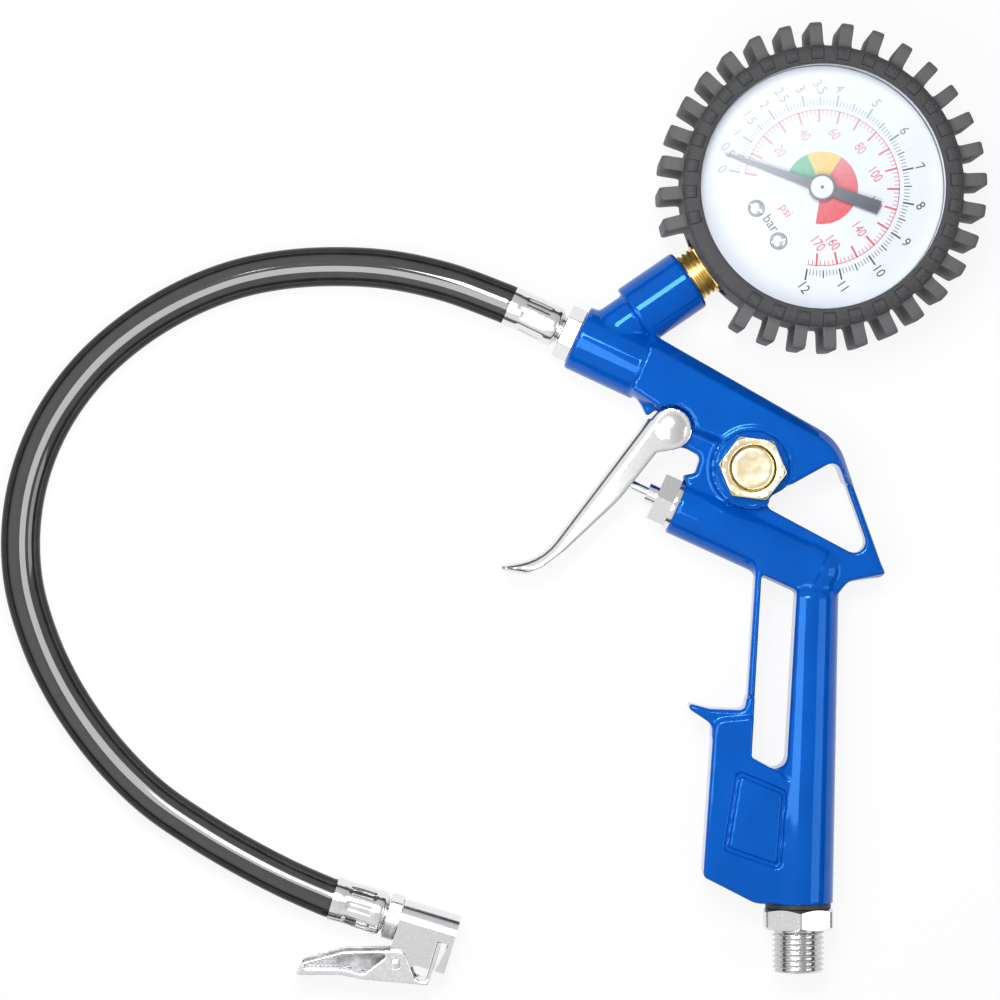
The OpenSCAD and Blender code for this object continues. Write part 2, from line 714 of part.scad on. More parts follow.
module gauge_socket() color("goldenrod") placed() in_gauge() difference() {
    union() {
        translate([0, -gauge_reach, mid_z]) rotate([-90, 0, 0]) {
            rod(gauge_thread_d / 2, -stem_thread_in, -0.5);
            rod(stem_neck_d / 2, -1, gauge_reach + block_low + 1);
            intersection() {
                translate([-stem_square / 2, -stem_square / 2, stem_free - square_len])
                    cube([stem_square, stem_square, square_len - fit]);
                rod(stem_bar_d / 2, 0, stem_free);
            }
        }
        difference() {
            translate([-8, block_low, mid_z - 4]) cube([19, block_high - block_low, 8]);
            tube_room();
            translate(tube_pin_at) rod(0.8, 0, 2 * mid_z);
        }
        for (x = [-1, 1]) translate([screw_at.x * x, screw_at.y, 0]) rod(2, mid_z + 3, dial_z - fit);
    }
    translate([0, -gauge_reach, mid_z]) rotate([-90, 0, 0]) rod(stem_bore_d / 2, -stem_thread_in - through, gauge_reach + tube_meets);
}

// Slot of the socket's block in which the tube's end is soldered
module tube_room() translate([0, 0, mid_z]) rotate([0, 0, tube_start - 30])
    rotate_extrude(angle = 55) translate([tube_r, 0])
        square([tube_section.x + 2 * fit, tube_section.y + 2 * fit], center = true);

module gauge_case() color("silver") placed() in_gauge() difference() {
    rotate_extrude() polygon([
        [0, case_back + fit], [case_d / 2 - 1.5, case_back + fit], [case_d / 2 - 0.4, case_back + 0.5],
        [case_d / 2, case_back + 1.6], [case_d / 2, case_front], [case_d / 2 - case_wall, case_front],
        [case_d / 2 - case_wall, case_back + 1.6], [case_d / 2 - 1.6, case_back + case_wall + fit],
        [0, case_back + case_wall + fit],
    ]);
    translate([0, -gauge_reach, mid_z]) rotate([-90, 0, 0]) rod(stem_neck_d / 2 + fit, stem_free - 4, stem_free + 6);
}

module boot_teeth(low, high) {
    places = [
        for (k = [0:tooth_places - 1 - teeth_left_out])
            270 + boot_turn + (k + (teeth_left_out + 1) / 2) * 360 / tooth_places
    ];
    for (a = places) rotate([0, 0, a]) translate([case_d / 2 + 1, -tooth_w / 2, low])
        cube([tooth_r - case_d / 2 - 1, tooth_w, high - low]);
}

module gauge_boot() color("#303030") placed() in_gauge() difference() {
    union() {
        rotate_extrude() polygon([
            [0, 0], [boot_r - 1.2, 0], [boot_r, 1.2], [boot_r, boot_top - 1.5], [boot_r - 1, boot_top - 0.2],
            [boot_r - 2, boot_top], [window_d / 2, boot_top], [window_d / 2, case_front + fit],
            [case_d / 2 + fit, case_front + fit], [case_d / 2 + fit, boot_back], [0, boot_back],
        ]);
        difference() {
            boot_teeth(0.6, boot_top - 1.4);
            translate([0, 0, boot_back]) cylinder(d = case_d + 2 * fit + 0.4, h = case_h + 5);
        }
        intersection() {
            boot_teeth(boot_top - 2, boot_top + rib_h);
            tube(boot_r, boot_r - 2.4, boot_top - 2, boot_top + rib_h);
        }
    }
    translate([0, -gauge_reach, mid_z]) rotate([-90, 0, 0]) rod(stem_bar_d / 2 + boot_stem_gap, 0, stem_free + 2);
}

module lens_ring() color("black") placed() in_gauge()
    tube(case_d / 2 - case_wall - fit, window_d / 2 - dial_gap, dial_z + dial_t + fit, lens_top - lens_t - fit);

module gauge_lens() color("lightcyan", 0.3) placed() in_gauge()
    rod(case_d / 2 - case_wall - fit, lens_top - lens_t, lens_top);

module gauge_dial() color("white") placed() in_gauge() difference() {
    rod(dial_d / 2, dial_z, dial_z + dial_t);
    rod(2, dial_z - through, dial_z + dial_t + through);
}

module dial_screws() color("silver") placed() in_gauge()
    for (x = [-1, 1]) translate([screw_at.x * x, screw_at.y, dial_z + dial_t + fit])
        cylinder(d1 = 4.4, d2 = 3.6, h = 0.9);

// ---------- Movement ----------

// One side of a tooth: [radius from the gear's centre, half angle of the tooth there]
function flank(teeth, r) =
    let (
        pitch_r = gear_module * teeth / 2,
        base_r = pitch_r * cos(20),
        at_pitch = 90 / teeth - backlash / pitch_r * 90 / PI,
        roll_pitch = tan(20) - 20 * PI / 180,
        press = acos(min(1, base_r / max(r, base_r))),
        roll = tan(press) - press * PI / 180
    )
    at_pitch + (roll_pitch - roll) * 180 / PI;

function tooth(teeth, middle) =
    let (
        pitch_r = gear_module * teeth / 2,
        radii = [for (k = [0:4]) pitch_r + gear_module * (-1.15 + 2 * k / 4)]
    )
    [
        for (r = radii) r * [cos(middle - flank(teeth, r)), sin(middle - flank(teeth, r))],
        for (k = [4:-1:0]) radii[k] * [cos(middle + flank(teeth, radii[k])), sin(middle + flank(teeth, radii[k]))],
    ];

module pinion() color("goldenrod") placed() in_gauge() {
    translate([0, 0, gear_z - 0.3]) linear_extrude(gear_t + 0.6)
        polygon([for (k = [0:pinion_teeth - 1]) each tooth(pinion_teeth, 90 + k * 360 / pinion_teeth)]);
    rod(spindle_d / 2, plate_low - 0.3, pointer_z - 0.5);
    translate([0, 0, pointer_z - 0.6]) cylinder(d1 = spindle_d, d2 = 0.8, h = pointer_t + 1.3);
}

sector_span = 14;
module sector_gear() color("gold") placed() in_gauge() translate([0, gear_centres, 0]) difference() {
    union() {
        translate([0, 0, gear_z]) linear_extrude(gear_t) polygon([
            for (k = [0:sector_span]) each tooth(sector_teeth, 270 + (k - 11.5) * 360 / sector_teeth),
            each [for (k = [6:-1:0]) (sector_pitch_r - 1.3) * [cos(235 + 46 * k / 6), sin(235 + 46 * k / 6)]],
        ]);
        plate_arm([0, 0], (sector_pitch_r - 0.7) * [cos(240), sin(240)], 2, 1);
        plate_arm([0, 0], (sector_pitch_r - 0.7) * [cos(276), sin(276)], 2, 1);
        plate_arm([0, 0], [0, tail_r], 2.4, 1.9);
        rod(1.5, gear_z, gear_z + gear_t + 0.8);
    }
    rod(spindle_d / 2 + fit, plate_low, plate_high + 2);
    translate([0, tail_r, 0]) rod(tail_pin_d / 2 + 0.2, plate_low, plate_high + 2);
}

// A flat arm of the sector between two points, with round ends
module plate_arm(a, b, w1, w2) {
    side = turned(unit(b - a));
    translate([0, 0, gear_z]) {
        linear_extrude(gear_t) polygon([a - side * w1 / 2, b - side * w2 / 2, b + side * w2 / 2, a + side * w1 / 2]);
        translate([b.x, b.y, 0]) cylinder(d = w2, h = gear_t);
    }
}

module hairspring() color("gainsboro") placed() in_gauge() {
    turns = 3;
    steps = 20;
    w = 0.12;
    spiral = [for (k = [0:turns * steps]) let (a = 360 * k / steps, r = 1.3 + 2.6 * k / turns / steps) [r, a]];
    translate([0, 0, spring_z]) linear_extrude(0.5) polygon([
        for (p = spiral) (p[0] + w) * [cos(p[1]), sin(p[1])],
        for (k = [turns * steps:-1:0]) (spiral[k][0] - w) * [cos(spiral[k][1]), sin(spiral[k][1])],
    ]);
}

// The link hangs on the tube's tip and pulls the sector's tail
module link() color("silver") placed() in_gauge() {
    low = gear_z + gear_t + seat;
    run = tip_at - tail_at;
    side = turned(unit(run)) * 0.7;
    difference() {
        union() {
            translate([0, 0, low]) linear_extrude(0.5)
                polygon([tail_at - side, tip_at - side, tip_at + side, tail_at + side]);
            translate([tail_at.x, tail_at.y, 0]) rod(0.9, low, low + 0.5);
            translate([tip_at.x, tip_at.y, 0]) rod(1.2, low, low + 0.5);
        }
        translate([tip_at.x, tip_at.y, 0]) rod(0.6, low - through, low + through);
    }
    translate([tail_at.x, tail_at.y, 0]) rod(tail_pin_d / 2, gear_z - 0.2, low + 0.1);
}

module tube_tip() color("goldenrod") placed() in_gauge() {
    rotate([0, 0, tip_turn]) translate([tube_r - tip_block.x / 2, seat, mid_z - tip_block.z / 2]) cube(tip_block);
    translate([tip_at.x, tip_at.y, 0]) {
        rod(1.1, mid_z + 2, gear_z + gear_t + fit);
        rod(0.55, gear_z, gear_z + gear_t + 1);
    }
}

module bourdon_tube() color("peru") placed() in_gauge() translate([0, 0, mid_z])
    rotate([0, 0, tube_start]) rotate_extrude(angle = tube_sweep) translate([tube_r, 0]) difference() {
        square(tube_section, center = true);
        square([tube_section.x - 2 * tube_wall, tube_section.y - 2 * tube_wall], center = true);
    }

movement_outline = [[-5, -14, 1], [5, -14, 1], [5, 14.2, 2], [-5, 14.2, 2]];
module movement_plate(low) difference() {
    plate(movement_outline, low, low + plate_t);
    rod(spindle_d / 2 + fit, low - through, low + plate_t + through);
    for (x = [-1, 1]) translate([screw_at.x * x, screw_at.y, 0]) rod(2 + seat, low - through, low + plate_t + through);
}

module movement_back() color("gold") placed() in_gauge() {
    movement_plate(plate_low);
    translate([0, -13.2, 0]) rod(1.2, mid_z + 4, plate_low + fit);
    for (p = [[-3.6, -11.5], [3.6, -11.5]]) translate([p.x, p.y, 0]) rod(1, plate_low + plate_t - fit, plate_high - fit);
    translate([0, gear_centres, 0]) rod(spindle_d / 2, plate_low + fit, plate_high - fit);
}

module movement_front() color("gold") placed() in_gauge() movement_plate(plate_high);

// ---------- Pointer ----------

module pointer() color("#404048") placed() in_gauge() rotate([0, 0, pointer_rest]) difference() {
    translate([0, 0, pointer_z]) {
        linear_extrude(pointer_t) polygon([
            [-pointer_tail, -1.7], [0, -1.25], [pointer_tip, -0.2], [pointer_tip, 0.2], [0, 1.25], [-pointer_tail, 1.7],
        ]);
        cylinder(r = 2.4, h = pointer_t + 0.2);
    }
    rod(0.55, pointer_z - through, pointer_z + 2);
}

module pointer_cap() color("white") placed() in_gauge() translate([0, 0, pointer_z + pointer_t + 0.2 + fit]) difference() {
    cylinder(d1 = cap_d, d2 = cap_d - 0.5, h = 0.9);
    translate([0, 0, -through]) cylinder(r = 0.55, h = through + 0.5);
}

// ---------- Hose ----------

module hose_fitting() color("silver") placed() on_fitting() difference() {
    union() {
        rod(outlet_thread_d / 2, -8, fit);
        rotate([0, 0, 30]) hexagon(fitting_af, fit / 2, fitting_hex_h);
        rod(3.6, fitting_hex_h - fit, ferrule_start + 0.02);
        rod(barb_d / 2, ferrule_start, ferrule_start + ferrule_len - 1);
    }
    rod(1.6, -8 - through, ferrule_start + ferrule_len);
}

// A crimped sleeve along Z, open at z = high, with an end wall at z = low
module ferrule(d, low, high) difference() {
    union() {
        rod(d / 2, low, low + 2.6);
        intersection() {
            rod(d / 2, low + 2.5, high - 2.5);
            translate([0, 0, low + 2.5]) cylinder(d = (d - 0.35) / cos(22.5), h = high - low - 5, $fn = 8);
        }
        rod(d / 2, high - 2.6, high - 0.4);
        translate([0, 0, high - 0.4]) cylinder(d1 = d, d2 = d - 0.5, h = 0.4);
    }
    rod(d / 2 - ferrule_wall, low + 1, high + through);
    rod(barb_d / 2 + fit, low - through, high);
}

module hose_end(d, low, high) tube(d / 2 - ferrule_wall - fit, barb_d / 2 + fit, low + 1 + fit, high - fit);

module gun_ferrule() color("gainsboro") placed() on_fitting()
    ferrule(gun_ferrule_d, ferrule_start + 0.03, ferrule_start + ferrule_len);

// Points between two route points, on a smooth curve through all of them
function spline(a, b, c, d, t) =
    0.5 * (2 * b + (c - a) * t + (2 * a - 5 * b + 4 * c - d) * t * t + (3 * b - a - 3 * c + d) * t * t * t);

module hose() color("#202020") {
    start = [hose_start.x, hose_start.y, mid_z];
    finish = [chuck_at.x, chuck_at.y, chuck_z];
    ends = [
        start + 6 * [barrel_in.x, barrel_in.y, 0], start,
        for (p = hose_route) [p.x, p.y, p.z + hose_d / 2],
        finish, finish + 6 * [chuck_dir.x, chuck_dir.y, 0],
    ];
    count = len(ends) - 3;
    path = [
        for (i = [0:count - 1]) each [
            spline(ends[i], ends[i + 1], ends[i + 2], ends[i + 3], 0),
            spline(ends[i], ends[i + 1], ends[i + 2], ends[i + 3], 0.5),
        ],
        finish,
    ];
    last = len(path) - 1;
    sides = 12;
    heading = [
        for (i = [0:last])
            i == 0 ? [-barrel_in.x, -barrel_in.y, 0]
            : i == last ? [chuck_dir.x, chuck_dir.y, 0]
            : unit(path[i + 1] - path[i - 1])
    ];
    placed() skin([
        for (i = [0:last])
            let (across = unit(cross([0, 0, 1], heading[i])), up = cross(heading[i], across))
            [for (k = [0:sides - 1]) path[i] + hose_d / 2 * (cos(360 * k / sides) * across + sin(360 * k / sides) * up)]
    ]);
    placed() on_fitting() hose_end(gun_ferrule_d, ferrule_start, ferrule_start + ferrule_len);
    placed() along_chuck() mirror([0, 0, 1]) translate([0, 0, -ferrule_len]) hose_end(chuck_ferrule_d, 0, ferrule_len);
}

module chuck_ferrule() color("gainsboro") placed() along_chuck()
    mirror([0, 0, 1]) translate([0, 0, -ferrule_len]) ferrule(chuck_ferrule_d, 0, ferrule_len);

// ---------- Chuck, with X along its axis from the ferrule's mouth ----------

module chuck_tail() color("silver") placed() along_chuck() difference() {
    union() {
        rod(barb_d / 2, 1, ferrule_len + 0.2);
        rod(collar_r, ferrule_len + seat, chuck_from - seat);
        rod(3.8, chuck_from - through, chuck_from + tail_len);
    }
    rod(1.5, 0, chuck_from + 5);
}

module chuck_body() color("gainsboro") placed() in_chuck() difference() {
    union() {
        translate([chuck_from, 0, 0]) rotate([0, 90, 0]) rod(half_chuck, 0, chuck_len);
        plate([
            [chuck_from, 0, 0.2], [chuck_from, -6.6, 0.2], [rivet_at.x - 2.6, rivet_at.y, 1.6], [rivet_at.x + 1.5, -13, 2],
            [rivet_at.x + 4.6, chuck_low, 0.8], [chuck_from + chuck_len, chuck_low, 0.4], [chuck_from + chuck_len, 0, 0.2],
        ], -half_chuck, half_chuck);
    }
    translate([chuck_from, 0, 0]) rotate([0, 90, 0]) {
        rod(3.8 + fit, -through, tail_len + free);
        rod(1.5, 0, chuck_len);
        rod(mouth_d / 2 + 0.5, chuck_len - mouth_len - seal_chamber_len, chuck_len - mouth_len);
        rod(mouth_d / 2, chuck_len - mouth_len - fit, chuck_len + through);
    }
    // Slot for the jaw, wider at its top for the jaw's swing
    translate([0, 0, -half_chuck - through]) linear_extrude(chuck_w + 2 * through) polygon([
        [jaw_x - 0.25, -16], [jaw_x + lever_t + 0.35, -16], [jaw_x + lever_t + 0.45, chuck_low],
        [jaw_x + lever_t + 1.9, -2.2], [jaw_x - 0.25, -2.2],
    ]);
    // Room between the ears for the spring
    plate([
        [rivet_at.x - 6, -16, 0.2], [rivet_at.x + 6, -16, 0.2], [rivet_at.x + 6, -8.2, 0.2], [rivet_at.x - 6, -8.2, 0.2],
    ], -3, 3);
    translate([rivet_at.x, rivet_at.y, 0]) rod(rivet_d / 2 + fit, -half_chuck - through, half_chuck + through);
}

module chuck_seal() color("black") placed() along_chuck() translate([0, 0, chuck_from + chuck_len - mouth_len])
    tube(mouth_d / 2 + 0.5 - fit, 2.2, -seal_chamber_len + 1.1, -seat);

module depressor_pin() color("goldenrod") placed() along_chuck() translate([0, 0, chuck_from + chuck_len - mouth_len]) {
    difference() {
        rod(mouth_d / 2 + 0.5 - fit, -seal_chamber_len + fit, -seal_chamber_len + 1);
        for (a = [0, 120, 240]) rotate([0, 0, a]) translate([2.1, 0, 0]) rod(0.6, -seal_chamber_len - through, 0);
    }
    rod(0.9, -seal_chamber_len + 0.9, -0.3);
}

// Underside of the lever: its thumb end, its two bends and the jaw's foot
thumb_end = [-3.2, -20.4];
thumb_bend = [7.1, -17.2];
floor_bend = [12.6, -16.7];
jaw_foot = [jaw_x + lever_t - 0.2, -13.3];
lever_up = [0, lever_t];
floor_rise = (jaw_foot.y - floor_bend.y) / (jaw_foot.x - floor_bend.x);

lever_outline = [
    [each thumb_end, 0.5], [each thumb_bend, 12], [each floor_bend, 4], [each jaw_foot, 0.4], [25.2, -12.4, 0.3],
    [rivet_at.x + 3.3, rivet_at.y + 0.9, 1.5], [rivet_at.x + 0.9, rivet_at.y + 4.1, 2.5], [17.3, -7.7, 1.2],
    [6.4, -11.3, 3], [4.6, -12.4, 1], [-2.7, -17, 0.5],
];
lever_base = [
    [each thumb_end, 0.5], [each thumb_bend, 12], [each floor_bend, 4], [each jaw_foot, 0.3],
    [each (jaw_foot + lever_up), 0.3], [each (floor_bend + lever_up), 5], [each (thumb_bend + lever_up), 12],
    [each (thumb_end + lever_up), 0.4],
];

module clip_lever() color("whitesmoke") placed() in_chuck() difference() {
    union() {
        difference() {
            plate(lever_outline, -half_lever, half_lever);
            translate([0, 0, -half_lever + lever_t]) linear_extrude(2 * (half_lever - lever_t))
                polygon([
                    thumb_end + lever_up + [-5, 0.1], thumb_end + lever_up + [0, 0.1], thumb_bend + lever_up,
                    floor_bend + lever_up, jaw_foot + lever_up + 5 * [1, floor_rise], jaw_foot + [5, 20],
                    thumb_end + [-5, 30],
                ]);
        }
        plate(lever_base, -half_lever, half_lever);
        translate([jaw_x, jaw_foot.y + 0.1, -half_jaw]) cube([lever_t, 10.9, 2 * half_jaw]);
    }
    translate([rivet_at.x, rivet_at.y, 0]) rod(rivet_d / 2 + fit, -half_lever - through, half_lever + through);
    rotate([0, 90, 0]) rod(mouth_d / 2 + 0.1, jaw_x - through, jaw_x + lever_t + through);
}

module clip_pin() color("silver") placed() in_chuck() translate([rivet_at.x, rivet_at.y, 0]) {
    rod(rivet_d / 2, -half_lever - seat, half_lever + seat);
    for (side = [0, 1]) mirror([0, 0, side]) rod(rivet_d / 2 + 0.3, half_lever + seat, half_lever + rivet_stand);
}

module clip_spring() color("lightgray") placed() in_chuck() translate([rivet_at.x, rivet_at.y, 0])
    helix(rivet_d / 2 + 0.6, 0.5, -2.4, 2.4, 5);

body_casting();
inlet_nipple();
inlet_seal();
valve_gland();
gland_seal();
valve_stem();
valve_poppet();
valve_seal();
valve_spring();
trigger();
trigger_pin();
bleed_nut();
bleed_seat();
bleed_button();
bleed_seal();
bleed_spring();
gauge_socket();
gauge_case();
gauge_boot();
lens_ring();
gauge_lens();
gauge_dial();
dial_screws();
pointer();
pointer_cap();
pinion();
hairspring();
sector_gear();
link();
tube_tip();
bourdon_tube();
movement_back();
movement_front();
hose_fitting();
gun_ferrule();
hose();
chuck_ferrule();
chuck_tail();
chuck_body();
chuck_seal();
depressor_pin();
clip_lever();
clip_pin();
clip_spring();
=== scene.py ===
import json
import math

import bmesh
import bpy
import numpy as np
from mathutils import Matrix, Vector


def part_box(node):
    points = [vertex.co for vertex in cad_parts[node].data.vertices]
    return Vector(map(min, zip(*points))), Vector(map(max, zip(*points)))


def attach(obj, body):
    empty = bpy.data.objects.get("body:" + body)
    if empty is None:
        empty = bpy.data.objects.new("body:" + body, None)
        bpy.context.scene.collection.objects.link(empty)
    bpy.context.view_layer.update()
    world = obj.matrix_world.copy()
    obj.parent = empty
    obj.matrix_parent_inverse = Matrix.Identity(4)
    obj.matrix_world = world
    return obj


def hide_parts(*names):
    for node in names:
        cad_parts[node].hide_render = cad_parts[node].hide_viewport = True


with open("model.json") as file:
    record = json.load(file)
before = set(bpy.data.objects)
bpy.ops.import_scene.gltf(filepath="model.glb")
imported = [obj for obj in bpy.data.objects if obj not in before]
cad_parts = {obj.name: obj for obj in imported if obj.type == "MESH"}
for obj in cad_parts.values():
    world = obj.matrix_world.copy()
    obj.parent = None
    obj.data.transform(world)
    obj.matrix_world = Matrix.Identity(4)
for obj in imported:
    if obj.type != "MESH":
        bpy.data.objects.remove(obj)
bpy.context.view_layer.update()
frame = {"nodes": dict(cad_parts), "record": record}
nodes = frame["nodes"]
print("frame loaded:", len(nodes), "nodes")

# Measures shared by the pieces, in the drawing's millimetres.
boxMiddle = np.array([40.56023, -40.96918])  # drawing point above the part's origin
midZ = 9.81495                               # height of the gun's mid-plane
outlet = np.array([0.0, 0.0])
barrelFall, valveFall, gaugeAngle, chuckFall = 25.0, 24.5, 34.3, 17.0
branchRoot, branchLength, stemLength = 4.5, 29.0, 38.9
fittingFace, ferruleLength = 4.7, 13.9       # from the outlet to the gun's ferrule; length of both ferrules


def heading(degrees):
    return np.array([math.cos(math.radians(degrees)), math.sin(math.radians(degrees))])


barrelIn = heading(-barrelFall)
valveIn = heading(-valveFall)
branchOut = heading(gaugeAngle)
chuckIn = heading(-chuckFall)
branchFace = branchRoot * barrelIn + branchLength * branchOut
gaugeAt = branchFace + stemLength * branchOut
valveFace = np.array([25.0, -42.1])
pivot = np.array([23.25, -23.0])
bossAt = np.array([43.3, -32.9])
inletAt = np.array([55.25, -141.3])
chuckAt, chuckZ = np.array([-61.1, -140.6]), 6.8


# Drawing millimetres to metres about the part's origin.
def toScene(points):
    points = np.array(points, float)
    points[..., :2] -= boxMiddle
    return points * 0.001


# Angles of the columns round an axis.
def roundAngles(columns):
    return np.linspace(0, 2 * np.pi, columns, endpoint=False)


def unitRows(rows):
    return rows / np.linalg.norm(rows, axis=1)[:, None]


# Puts a mesh, lamp, camera or lettering into the scene.
def addObject(name, data):
    added = bpy.data.objects.new(name, data)
    bpy.context.scene.collection.objects.link(added)
    return added


# The mesh that an object shows, with its modifiers worked in.
def shownMesh(shown):
    bpy.context.view_layer.update()
    return bpy.data.meshes.new_from_object(shown.evaluated_get(bpy.context.evaluated_depsgraph_get()))


# Quads of a grid of rows and columns; a closed direction joins its last line to its first.
def gridFaces(rows, columns, closeRows=False, closeColumns=True):
    i = np.arange(rows if closeRows else rows - 1)[:, None]
    j = np.arange(columns if closeColumns else columns - 1)[None, :]
    up, on = (i + 1) % rows, (j + 1) % columns
    quads = [i * columns + j, i * columns + on, up * columns + on, up * columns + j]
    return np.stack(quads, -1).reshape(-1, 4)


# Merges doubled points, so seams and poles close, and turns the faces of a closed shell outwards.
def weld(mesh, distance=2e-6):
    shell = bmesh.new()
    shell.from_mesh(mesh)
    bmesh.ops.remove_doubles(shell, verts=shell.verts, dist=distance)
    bmesh.ops.dissolve_degenerate(shell, edges=shell.edges, dist=1e-7)
    bmesh.ops.recalc_face_normals(shell, faces=shell.faces)
    shell.to_mesh(mesh)
    shell.free()


def sharpen(piece, degrees):
    shell = bmesh.new()
    shell.from_mesh(piece.data)
    limit = math.radians(degrees)
    for edge in shell.edges:
        edge.smooth = not (edge.is_manifold and edge.calc_face_angle(0) > limit)
    for face in shell.faces:
        face.smooth = True
    shell.to_mesh(piece.data)
    shell.free()


# A new piece from points in drawing millimetres; it rides on a body and may stand for CAD nodes.
def addPiece(name, points, faces, material, slot, body, stands=(), closed=True, angle=35):
    mesh = bpy.data.meshes.new(name)
    faces = [list(face) for face in np.asarray(faces).tolist()]
    mesh.from_pydata(toScene(points).reshape(-1, 3).tolist(), [], faces)
    if closed:
        weld(mesh)
    piece = addObject(name, mesh)
    sharpen(piece, angle)
    mesh.materials.append(material)
    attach(piece, body)
    if stands:
        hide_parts(*stands)
    return piece


# A piece whose points stand in rows and columns, as turned and swept work does.
def addGrid(name, points, *rest, closeRows=False, **more):
    return addPiece(name, points, gridFaces(*points.shape[:2], closeRows=closeRows), *rest, **more)


# Radius of a hexagon at some angles, from its width across the flats and a circle that cuts it.
def hexRadius(flats, angle, cut):
    wedge = (angle + np.pi / 6) % (np.pi / 3) - np.pi / 6
    return np.minimum(flats / 2 / np.cos(wedge), cut)


# Camera: straight down on a point a little left of the part's origin.
view = {"x": -0.05981, "y": 0.00022, "z": 1.10981, "lens": 158.4}
cameraData = bpy.data.cameras.new("camera")
cameraData.lens = view["lens"]
cameraData.sensor_width = 36.0
camera = addObject("camera", cameraData)
camera.location = (view["x"], view["y"], view["z"])
bpy.context.scene.camera = camera
bpy.context.scene.view_settings.view_transform = "Standard"


# A shader node with constants on some of its sockets, named or numbered.
def addNode(tree, kind, values=(), **settings):
    node = tree.nodes.new("ShaderNode" + kind)
    for name, value in settings.items():
        setattr(node, name, value)
    for socket, value in dict(values).items():
        node.inputs[socket].default_value = value
    return node


def connect(tree, *pairs):
    for source, target in pairs:
        tree.links.new(source, target)


# Carries a value from one range over to another, in a straight line or in a smooth step.
def mapRange(tree, source, low, high, first, last, kind="LINEAR"):
    band = addNode(tree, "MapRange", {"From Min": low, "From Max": high, "To Min": first, "To Max": last},
                   interpolation_type=kind)
    tree.links.new(source, band.inputs["Value"])
    return band.outputs["Result"]


# A Principled material: constant values sit on its own sockets. Noise in Object coordinates
# varies the colour between two shades, the roughness between two values, and a fine bump.
def finish(name, shades, rough, metallic=0.0, grain=400.0, bump=0.0, bumpScale=1500.0, **sockets):
    material = bpy.data.materials.new(name)
    material.use_nodes = True
    tree = material.node_tree
    shader = tree.nodes["Principled BSDF"]
    where = addNode(tree, "TexCoord").outputs["Object"]
    mottle = addNode(tree, "TexNoise", {"Scale": grain, "Detail": 3.0})
    tint = addNode(tree, "ValToRGB")
    for stop, position, shade in zip(tint.color_ramp.elements, (0.35, 0.65), shades):
        stop.position, stop.color = position, (*shade, 1)
    connect(tree, (where, mottle.inputs["Vector"]), (mottle.outputs["Fac"], tint.inputs["Fac"]),
            (tint.outputs["Color"], shader.inputs["Base Color"]),
            (mapRange(tree, mottle.outputs["Fac"], 0.3, 0.7, *rough), shader.inputs["Roughness"]))
    shader.inputs["Metallic"].default_value = metallic
    for socket, value in sockets.items():
        shader.inputs[socket.replace("_", " ")].default_value = value
    if bump:
        fine = addNode(tree, "TexNoise", {"Scale": bumpScale, "Detail": 4.0})
        raised = addNode(tree, "Bump", {"Strength": 1.0, "Distance": bump})
        connect(tree, (where, fine.inputs["Vector"]), (fine.outputs["Fac"], raised.inputs["Height"]),
                (raised.outputs["Normal"], shader.inputs["Normal"]))
    return material


paint = {"deep": (0.0, 0.078, 0.44), "light": (0.0, 0.090, 0.49), "peel": 0.000004}
bluePaint = finish("blueEnamel", (paint["deep"], paint["light"]), (0.04, 0.07), grain=90.0,
                   bump=paint["peel"], bumpScale=420.0, Specular_IOR_Level=0.9,
                   Specular_Tint=(0.12, 0.44, 1.0, 1.0))
brightPlate = finish("brightPlating", ((0.80, 0.80, 0.81), (0.87, 0.87, 0.88)), (0.1, 0.15), 1.0,
                     grain=2400.0, bump=0.0000004, bumpScale=3200.0)
screwPlate = finish("screwPlating", ((0.72, 0.73, 0.75), (0.80, 0.81, 0.83)), (0.28, 0.36), 1.0,
                    grain=1500.0)
satinPlate = finish("satinPlating", ((0.78, 0.78, 0.79), (0.86, 0.86, 0.87)), (0.10, 0.15), 1.0,
                    grain=2600.0, bump=0.0000006, bumpScale=3600.0)
# Darker steel, painted shade for the inside of the clip's channel.
paintedShadeSteel = finish("paintedShadeSteel", ((0.16, 0.16, 0.165), (0.30, 0.30, 0.31)), (0.34, 0.42), 1.0,
                      grain=420.0)
sheetSteel = finish("pressedSteel", ((0.82, 0.82, 0.83), (0.90, 0.90, 0.91)), (0.14, 0.2), 1.0,
                    grain=1400.0, bump=0.0000006, bumpScale=3000.0)
threadPlate = finish("threadPlating", ((0.66, 0.66, 0.67), (0.76, 0.76, 0.77)), (0.14, 0.2), 1.0,
                     grain=1800.0, bump=0.0000004, bumpScale=3200.0)
springSteel = finish("springWire", ((0.42, 0.42, 0.44), (0.58, 0.58, 0.6)), (0.25, 0.4), 1.0, grain=900.0)
paleBrass = finish("paleBrass", ((0.95, 0.79, 0.52), (0.98, 0.86, 0.63)), (0.16, 0.24), 1.0, grain=600.0,
                   bump=0.000003, bumpScale=2000.0)
goldBrass = finish("goldenBrass", ((0.86, 0.58, 0.17), (0.95, 0.72, 0.28)), (0.26, 0.36), 1.0, grain=600.0,
                   bump=0.000002, bumpScale=2400.0)
bootRubber = finish("bootRubber", ((0.018, 0.018, 0.020), (0.052, 0.052, 0.057)), (0.5, 0.7), grain=1900.0,
                    bump=0.00007, bumpScale=2300.0)
sealRubber = finish("sealRubber", ((0.015, 0.015, 0.016), (0.03, 0.03, 0.03)), (0.45, 0.6), grain=600.0)
hoseRubber = finish("hoseRubber", ((0.010, 0.010, 0.011), (0.018, 0.018, 0.019)), (0.12, 0.2), grain=260.0,
                    bump=0.00002, bumpScale=330.0, Coat_IOR=1.85, Coat_Roughness=0.06,
                    Specular_IOR_Level=0.05)
dialEnamel = finish("dialEnamel", ((0.80, 0.83, 0.88), (0.86, 0.88, 0.92)), (0.4, 0.5), grain=60.0)
